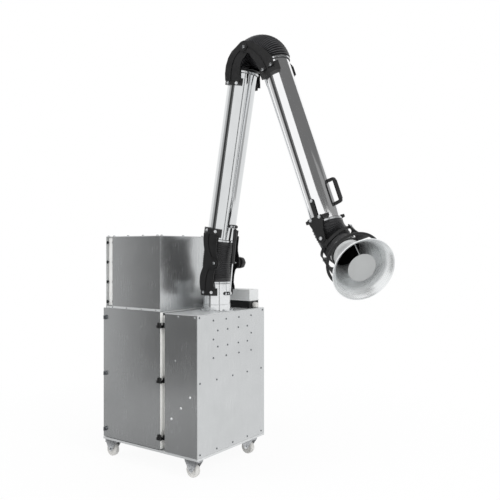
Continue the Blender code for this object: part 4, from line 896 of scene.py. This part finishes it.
casterSpec = {
    "spread": (0.323, 0.258), "trail": 0.030, "radius": 0.040, "forkEdge": 0.0008, "axleAt": 0.0231,
    "wheel": ((0.0043, -0.0160), (0.0120, -0.0160), (0.0140, -0.0145), (0.0150, -0.0120), (0.0265, -0.0120),
              (0.0285, -0.0135), (0.0310, -0.0160), (0.0345, -0.0155), (0.0385, -0.0135), (0.0400, -0.0100)),
    "side": ((-0.044, 0.0975), (-0.044, 0.0915), (-0.013, 0.0360), (0.0, 0.0285), (0.013, 0.0360),
             (0.052, 0.0915), (0.052, 0.0975)), "sideAt": (-0.0232, 0.0216), "sideThick": 0.0016,
    "brakeOn": 1, "pedal": ((-0.010, 0.0842), (-0.050, 0.0842), (-0.084, 0.0760), (-0.087, 0.0780),
                            (-0.086, 0.0802), (-0.050, 0.0888), (-0.010, 0.0888)), "pedalHalf": 0.015}
wheelLine = list(casterSpec["wheel"])
wheelProfile = wheelLine + [(r, -a) for r, a in reversed(wheelLine)] + [wheelLine[0]]
wheelTemplate = turnProfile("wheelTemplate", wheelProfile, 56)
axleTemplate = turnProfile("axleTemplate", [
    (0.0, 0.0048), (0.0062, 0.0048), (0.0074, 0.0036), (0.0074, 0.0012), (0.0100, 0.0012), (0.0100, 0.0),
    (0.0, 0.0)], 6, None, 20.0)
spreadX, spreadY = casterSpec["spread"]
corners = ((-spreadX, -spreadY), (-spreadX, spreadY), (spreadX, -spreadY), (spreadX, spreadY))
for number, (x, y) in enumerate(corners, 1):
    body = "caster_%d" % number
    hubX = x - casterSpec["trail"]
    wheel = copyPiece(wheelTemplate, "casterWheel%d" % number)
    settle(wheel, axisFrame((hubX, y, casterSpec["radius"]), backY, sideX))
    dress(wheel, whiteNylon, "wheel_%d" % number)
    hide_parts("caster_wheel_%d" % number)
    fork = roundedCopy("caster_fork_%d" % number, casterSpec["forkEdge"])
    dress(fork, zinc, body)
    # pressed side plates of the fork, wide under the swivel and narrow at the axle
    outline = [(hubX + a, z) for a, z in casterSpec["side"]]
    sides = [cutPlate("side", outline, y + low, y + low + casterSpec["sideThick"], 0.0004)
             for low in casterSpec["sideAt"]]
    dress(joinAll("casterSides%d" % number, sides), zinc, body)
    spots = [((hubX, y + side * casterSpec["axleAt"], casterSpec["radius"]), backY * side)
             for side in (-1.0, 1.0)]
    fixRow("casterAxle%d" % number, axleTemplate, spots, plated, body)
    if number == casterSpec["brakeOn"]:
        outline = [(x + a, z) for a, z in casterSpec["pedal"]]
        half = casterSpec["pedalHalf"]
        dress(cutPlate("casterBrake", outline, y - half, y + half, 0.0010), blackened, body)
drop(wheelTemplate, axleTemplate)
print("casters built")


# Control box, hinges and latches

boxSpec = {"coverEdge": 0.0024, "trayEdge": 0.0014, "gland": (0.0, 0.254, 0.9195)}
fittingSpec = {"edge": 0.0008, "heights": (0.8165, 0.5065, 0.1855), "pad": (0.0820, 0.1004, 0.0, 0.0150),
               "padDeep": (-0.3312, -0.3178), "block": (0.1148, 0.1328, 0.0005, 0.0285),
               "blockDeep": (-0.3120, -0.2800)}
cover = roundedCopy("control_cover", boxSpec["coverEdge"], segments=3)
dress(cover, greyPaint, "cabinet")
tray = roundedCopy("control_base", boxSpec["trayEdge"], "controlTray")
dress(tray, mouldedBlack, "cabinet")
gland = turnProfile("cableGland", [
    (0.0, 0.3668), (0.0080, 0.3666), (0.0130, 0.3660), (0.0158, 0.3644), (0.0168, 0.3612), (0.0168, 0.3530),
    (0.0182, 0.3525), (0.0182, 0.3440), (0.0178, 0.3416), (0.0, 0.3416)], 40,
    axisFrame(boxSpec["gland"], sideX, upZ))
dress(gland, whiteNylon, "cabinet")


def fittingPlate(name, key, z):
    left, right, low, high = fittingSpec[key]
    front, back = fittingSpec[key + "Deep"]
    return cutPlate(name, rectangle(left, right, z + low, z + high), front, back, fittingSpec["edge"])


for i, z in enumerate(fittingSpec["heights"], 1):
    for node, body in (("hinge_frame_%d" % i, "cabinet"), ("hinge_door_%d" % i, "door")):
        dress(roundedCopy(node, fittingSpec["edge"]), mouldedBlack, body)
    # the door leaf's plate runs on beside the knuckle of the frame leaf, which has a block behind it
    dress(fittingPlate("hingePad%d" % i, "pad", z), mouldedBlack, "door")
    dress(fittingPlate("hingeBlock%d" % i, "block", z), blackened, "cabinet")
    latch = roundedCopy("latch_%d" % i, fittingSpec["edge"], "quarterLatch%d" % i)
    dress(latch, greyed, "latch_%d" % i)
print("fittings rounded")


# Fasteners: one pan head, one domed cap and one washer bolt, copied along the rows

screw = turnProfile("screwTemplate", [
    (0.0, 0.0012), (0.0020, 0.0012), (0.0024, 0.0032), (0.0040, 0.0027), (0.0054, 0.0014), (0.0058, 0.0),
    (0.0, 0.0)], 16, None, 50.0)
cap = turnProfile("capTemplate", [
    (0.0, 0.0046), (0.0032, 0.0042), (0.0056, 0.0030), (0.0068, 0.0010), (0.0070, 0.0),
    (0.0, 0.0)], 24, None, 60.0)
washer = turnProfile("washer", [
    (0.0, 0.0), (0.0086, 0.0), (0.0090, 0.0004), (0.0090, 0.0012), (0.0086, 0.0016), (0.0, 0.0016)], 24)
head = turnProfile("head", [
    (0.0, 0.0014), (0.0064, 0.0014), (0.0064, 0.0052), (0.0056, 0.0062), (0.0030, 0.0064),
    (0.0, 0.0064)], 6, None, 20.0)
bolt = joinAll("boltTemplate", [washer, head])

# "At" is the face that a row sits on
rowSpec = {
    "sideAt": 0.373, "side": (
        (0.863, (-0.180, -0.064, 0.057, 0.179)), (0.804, (-0.141, -0.051, 0.051, 0.141)),
        (0.714, (-0.141, -0.051, 0.051, 0.141)), (0.758, (-0.180, 0.180)),
        (0.655, (-0.180, -0.064, 0.057, 0.179)), (0.531, (-0.295, -0.150, -0.003, 0.140, 0.284)),
        (0.887, (-0.300, 0.300)), (0.145, (-0.295, -0.150, -0.003, 0.140, 0.284))),
    "left": ((0.145, 0.516, 0.882), (-0.150, 0.0, 0.150, 0.295)),
    "frontAt": 0.3175, "front": ((0.214, 0.642), (0.235, 0.888), (0.355, 0.888)),
    "caps": ((0.322, 0.453), (0.255, 0.386), (0.185, 0.318)),
    "back": ((0.145, (-0.345, -0.115, 0.115, 0.345)), (0.516, (-0.345, 0.345)),
             (0.882, (-0.345, -0.115, 0.115, 0.345))),
    "stripAt": (0.318, 0.9143), "strip": (-0.290, -0.170, -0.048, 0.068),
    "lidAt": 1.337, "lid": ((-0.338, -0.290, -0.170, -0.048, 0.068), (-0.306, 0.305)),
    "lidEnd": (0.087, (-0.292, -0.110, 0.065, 0.243)), "spigot": (0.0912, 0.9053),
    "flangeAt": ((-0.3440, sideX), (-0.2946, -sideX)), "flange": (0.3095, (1.301, 1.183, 1.064, 0.944))}
sideAt, frontAt, lidAt = rowSpec["sideAt"], rowSpec["frontAt"], rowSpec["lidAt"]
spots = [((sideAt, y, z), sideX) for z, row in rowSpec["side"] for y in row]
fixRow("sidePanelScrews", screw, spots, greyed, "cabinet")
spots = [((x, -frontAt, z), -backY) for x, z in rowSpec["caps"]]
fixRow("frontCaps", cap, spots, nickelled, "cabinet")
spots = [((x, -frontAt, z), -backY) for x, z in rowSpec["front"]]
spots += [((x, frontAt, z), backY) for z, row in rowSpec["back"] for x in row]
spots += [((-sideAt, y, z), -sideX) for z in rowSpec["left"][0] for y in rowSpec["left"][1]]
stripAt, stripZ = rowSpec["stripAt"]
spots += [((x, side * stripAt, stripZ), backY * side) for x in rowSpec["strip"] for side in (-1.0, 1.0)]
fixRow("panelScrews", screw, spots, plated, "cabinet")

spots = [((x, y, lidAt), upZ) for x in rowSpec["lid"][0] for y in rowSpec["lid"][1]]
spots += [((rowSpec["lidEnd"][0], y, lidAt), upZ) for y in rowSpec["lidEnd"][1]]
reach, spigotZ = rowSpec["spigot"]
spots += [((standX + reach * math.cos(turn), reach * math.sin(turn), spigotZ), upZ)
          for turn in (math.radians(22.5 + 45.0 * i) for i in range(8))]
fixRow("lidBolts", bolt, spots, plated, "cabinet")
reach, heights = rowSpec["flange"]
spots = [((x, side * reach, z), normal) for z in heights for side in (1.0, -1.0)
         for x, normal in rowSpec["flangeAt"]]
fixRow("flangeBolts", bolt, spots, blackened, "cabinet")

# bolts of the arm: straps, pivots and lugs, each row on the body that it turns with
armBoltSpec = {
    "strapTurn": (-18.0, 18.0), "strapFacet": 10.0, "straps": (
        ("swivel", Vector((standX, 0.0, 1.011)), sideX, 0.0965),
        ("lower_arm", onLower(0.190), lowerOut, 0.1018), ("lower_arm", onLower(1.0305), lowerOut, 0.0965)),
    "lug": 0.0245, "elbow": (0.526, 0.1088, 2.375), "lowerPivot": (0.317, 1.180), "lowerNear": 0.1088,
    "lowerFar": 0.0945, "damper": (0.716, 0.0925), "swing": (0.1176, 0.1192),
    "upper": ((0.9226, 0.0, 0.1188), (0.8150, -0.027, 0.1148), (0.8150, 0.027, 0.1148),
              (-0.0640, -0.029, 0.1048), (-0.0640, 0.026, 0.1048))}  # along, out and across the tube
armSpots = {"swivel": [], "lower_arm": [], "upper_arm": [], "hood": []}
facet = math.cos(math.radians(armBoltSpec["strapFacet"]))
for body, middle, out, reach in armBoltSpec["straps"]:
    for side in (-1.0, 1.0):
        for turn in (math.radians(degrees) for degrees in armBoltSpec["strapTurn"]):
            normal = out * math.sin(turn) + backY * side * math.cos(turn)
            armSpots[body].append((middle + normal * reach * facet, normal))
elbowX, elbowReach, elbowZ = armBoltSpec["elbow"]
for side in (-1.0, 1.0):
    lugSpot = Vector((lugSpec["top"], side * armBoltSpec["lug"], 0.0))
    armSpots["swivel"].append((footPlace @ lugSpot, sideX))
    armSpots["lower_arm"].append((headPlace @ lugSpot, lowerOut))
    armSpots["upper_arm"].append(((elbowX, side * elbowReach, elbowZ), backY * side))
    for along, out, reach in armBoltSpec["upper"]:
        armSpots["upper_arm"].append((onUpper(along) + upperOut * out + backY * side * reach, backY * side))
pivotX, pivotZ = armBoltSpec["lowerPivot"]
armSpots["lower_arm"].append(((pivotX, -armBoltSpec["lowerNear"], pivotZ), -backY))
armSpots["swivel"].append(((pivotX, armBoltSpec["lowerFar"], pivotZ), -backY))
along, reach = armBoltSpec["damper"]
armSpots["upper_arm"].append((onUpper(along) - backY * reach, -backY))
for reach, normal in zip(armBoltSpec["swing"], (swingAxis, -swingAxis)):
    armSpots["hood"].append((gimbal + normal * reach, normal))
for body, spots in armSpots.items():
    fixRow("armBolts_" + body, bolt, spots, plated, body)
drop(screw, cap, bolt)
print("fasteners set")


# Studio

studioSpec = {
    "floorHalf": 14.0, "floorShare": (0.93, 1.0), "floorFade": (0.7, 2.6), "sky": 0.70, "key": 90.0,
    "fill": 48.0, "left": (0.57, 0.05), "leftSpan": (-2.00, -1.55), "near": (0.40, 0.25),
    "nearSpan": (-1.0, 0.0), "right": 0.16, "high": 0.165, "middle": 0.30, "low": 0.50, "cardLift": 0.004}


def stagePlane(name, corners, material, reflectedOnly):
    bpy.ops.object.select_all(action="DESELECT")
    bpy.ops.mesh.primitive_plane_add(size=1.0)
    obj = bpy.context.object
    obj.name = name
    for vertex, place in zip(obj.data.vertices, (corners[0], corners[1], corners[3], corners[2])):
        vertex.co = place
    obj.data.materials.append(material)
    if reflectedOnly:
        for ray in ("camera", "diffuse", "shadow", "transmission"):
            setattr(obj, "visible_" + ray, False)
    obj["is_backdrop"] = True


def startStage(name):
    made = bpy.data.materials.new(name)
    made.use_nodes = True
    made.node_tree.nodes.clear()
    return made, made.node_tree, addNode(made.node_tree, "ShaderNodeOutputMaterial")


def seenDirectly(tree):
    path = addNode(tree, "ShaderNodeLightPath")
    either = addNode(tree, "ShaderNodeMath", {"operation": "MAXIMUM"},
                     {"0": path.outputs["Is Camera Ray"], "1": path.outputs["Is Glossy Ray"]})
    return addNode(tree, "ShaderNodeMath", {"operation": "MAXIMUM"},
                   {"0": either.outputs["Value"], "1": path.outputs["Is Transmission Ray"]}).outputs["Value"]


def standing(start, end):
    # corners of an upright card; each end is x, y, low and high
    return ((start[0], start[1], start[2]), (end[0], end[1], end[2]), (end[0], end[1], end[3]),
            (start[0], start[1], start[3]))


def lying(*points):
    return [(x, y, studioSpec["cardLift"]) for x, y in points]


# pale floor: it keeps the shadow near the object and fades to the white surround further out
paleFloor, tree, out = startStage("paleFloor")
where = addNode(tree, "ShaderNodeTexCoord")
away = addNode(tree, "ShaderNodeVectorMath", {"operation": "LENGTH"}, {"0": where.outputs["Object"]})
fade = addNode(tree, "ShaderNodeMapRange", fromTo(studioSpec["floorFade"], studioSpec["floorShare"]),
               {"Value": away.outputs["Value"]})
share = addNode(tree, "ShaderNodeMath", {"operation": "MULTIPLY"},
                {"0": seenDirectly(tree), "1": fade.outputs["Result"]})
matt = addNode(tree, "ShaderNodeBsdfDiffuse", {"in:Color": (0.9, 0.9, 0.9, 1.0)})
glow = addNode(tree, "ShaderNodeEmission", {"in:Color": (1.0, 1.0, 1.0, 1.0), "in:Strength": 1.0})
mix = addNode(tree, "ShaderNodeMixShader", {}, {
    "0": share.outputs["Value"], "1": matt.outputs["BSDF"], "2": glow.outputs["Emission"]})
tree.links.new(mix.outputs["Shader"], out.inputs["Surface"])
half = studioSpec["floorHalf"]
floor = ((-half, -half, 0.0), (half, -half, 0.0), (half, half, 0.0), (-half, half, 0.0))
stagePlane("floor", floor, paleFloor, False)

# grey cards beside the set, seen only as reflections in the bright metal; a graded card has two levels,
# and a span along X from the one to the other
for name, level, span, corners in (
        ("greyCardLeft", "left", "leftSpan", standing((-3.6, -1.3, 0.01, 3.6), (-0.90, -2.13, 0.01, 3.6))),
        ("greyCardFloor", "near", "nearSpan", lying((-3.6, -1.3), (-0.35, -2.3), (0.42, -0.36), (-3.6, -0.36))),
        ("greyCardBell", "middle", None, lying((0.45, -2.6), (1.05, -2.6), (1.55, -0.30), (0.75, -0.30))),
        ("greyCardRight", "right", None, standing((3.3, -2.2, 0.01, 3.2), (3.6, -1.9, 0.01, 3.2))),
        ("greyCardLeftEnd", "right", None, standing((-0.90, -2.13, 0.01, 3.6), (-0.35, -2.3, 0.01, 3.6))),
        ("greyCardLow", "low", None, standing((3.84, -0.73, 0.9, 2.5), (3.3, 2.15, 0.9, 2.5))),
        ("greyCardHighLeft", "high", None, standing((2.25, -3.10, 3.0, 5.8), (2.91, -2.83, 3.0, 5.8))),
        ("greyCardHigh", "high", None, standing((2.91, -2.83, 2.97, 6.4), (3.44, -0.30, 2.97, 6.4))),
        ("greyCardHighSide", "high", None, standing((3.44, -0.30, 3.8, 6.4), (3.88, 1.75, 3.8, 6.4))),
        ("greyCardHighRight", "high", None, standing((3.88, 1.75, 3.6, 6.4), (1.70, 2.70, 3.2, 6.0))),
        ("greyCardMiddle", "middle", None, standing((3.44, -0.30, 2.9, 3.8), (3.88, 1.75, 2.9, 3.8))),
        ("greyCardMiddleRight", "middle", None, standing((3.88, 1.75, 2.7, 3.6), (1.70, 2.70, 2.5, 3.2)))):
    card, tree, out = startStage(name)
    if span:
        where = addNode(tree, "ShaderNodeTexCoord")
        split = addNode(tree, "ShaderNodeSeparateXYZ", {}, {"Vector": where.outputs["Object"]})
        grade = addNode(tree, "ShaderNodeMapRange", fromTo(studioSpec[span], studioSpec[level]),
                        {"Value": split.outputs["X"]})
        glow = addNode(tree, "ShaderNodeEmission", {}, {"Strength": grade.outputs["Result"]})
    else:
        glow = addNode(tree, "ShaderNodeEmission", {"in:Strength": studioSpec[level]})
    tree.links.new(glow.outputs["Emission"], out.inputs["Surface"])
    stagePlane(name, corners, card, True)

world = bpy.data.worlds.new("studio")
bpy.context.scene.world = world
world.use_nodes = True
tree = world.node_tree
tree.nodes.clear()
out = addNode(tree, "ShaderNodeOutputWorld")
level = addNode(tree, "ShaderNodeMapRange", {"in:To Min": studioSpec["sky"], "in:To Max": 1.0},
                {"Value": seenDirectly(tree)})
sky = addNode(tree, "ShaderNodeBackground", {"in:Color": (1.0, 1.0, 1.0, 1.0)},
              {"Strength": level.outputs["Result"]})
tree.links.new(sky.outputs["Background"], out.inputs["Surface"])


def softBox(name, place, target, size, power):
    data = bpy.data.lights.new(name, "AREA")
    data.shape = "SQUARE"
    data.size = size
    data.energy = power
    lamp = enter(bpy.data.objects.new(name, data))
    lamp.matrix_world = axisFrame(place, Vector(place) - Vector(target), upZ)
    lamp.visible_glossy = False  # bright metal shows the white surround, not the lamps


softBox("keyBox", (3.6, -1.2, 3.4), (0.3, 0.0, 1.2), 2.2, studioSpec["key"])
softBox("fillBox", (-2.2, -3.4, 3.0), (0.2, 0.0, 1.0), 2.0, studioSpec["fill"])

cameraSpec = {"lens": 45.57, "sensor": 36.0, "shift": 0.0018, "place": (2.5912, -2.9156, 1.2503), "turn": 35.73,
              "farthest": 60.0}
cameraData = bpy.data.cameras.new("camera")
cameraData.lens = cameraSpec["lens"]
cameraData.sensor_width = cameraSpec["sensor"]
cameraData.shift_y = cameraSpec["shift"]
cameraData.clip_end = cameraSpec["farthest"]
camera = enter(bpy.data.objects.new("camera", cameraData))
camera.location = cameraSpec["place"]
camera.rotation_euler = (math.radians(90.0), 0.0, math.radians(cameraSpec["turn"]))
bpy.context.scene.camera = camera
bpy.context.scene.view_settings.view_transform = "Standard"
print("studio lit")

bpy.context.view_layer.update()
low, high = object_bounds()
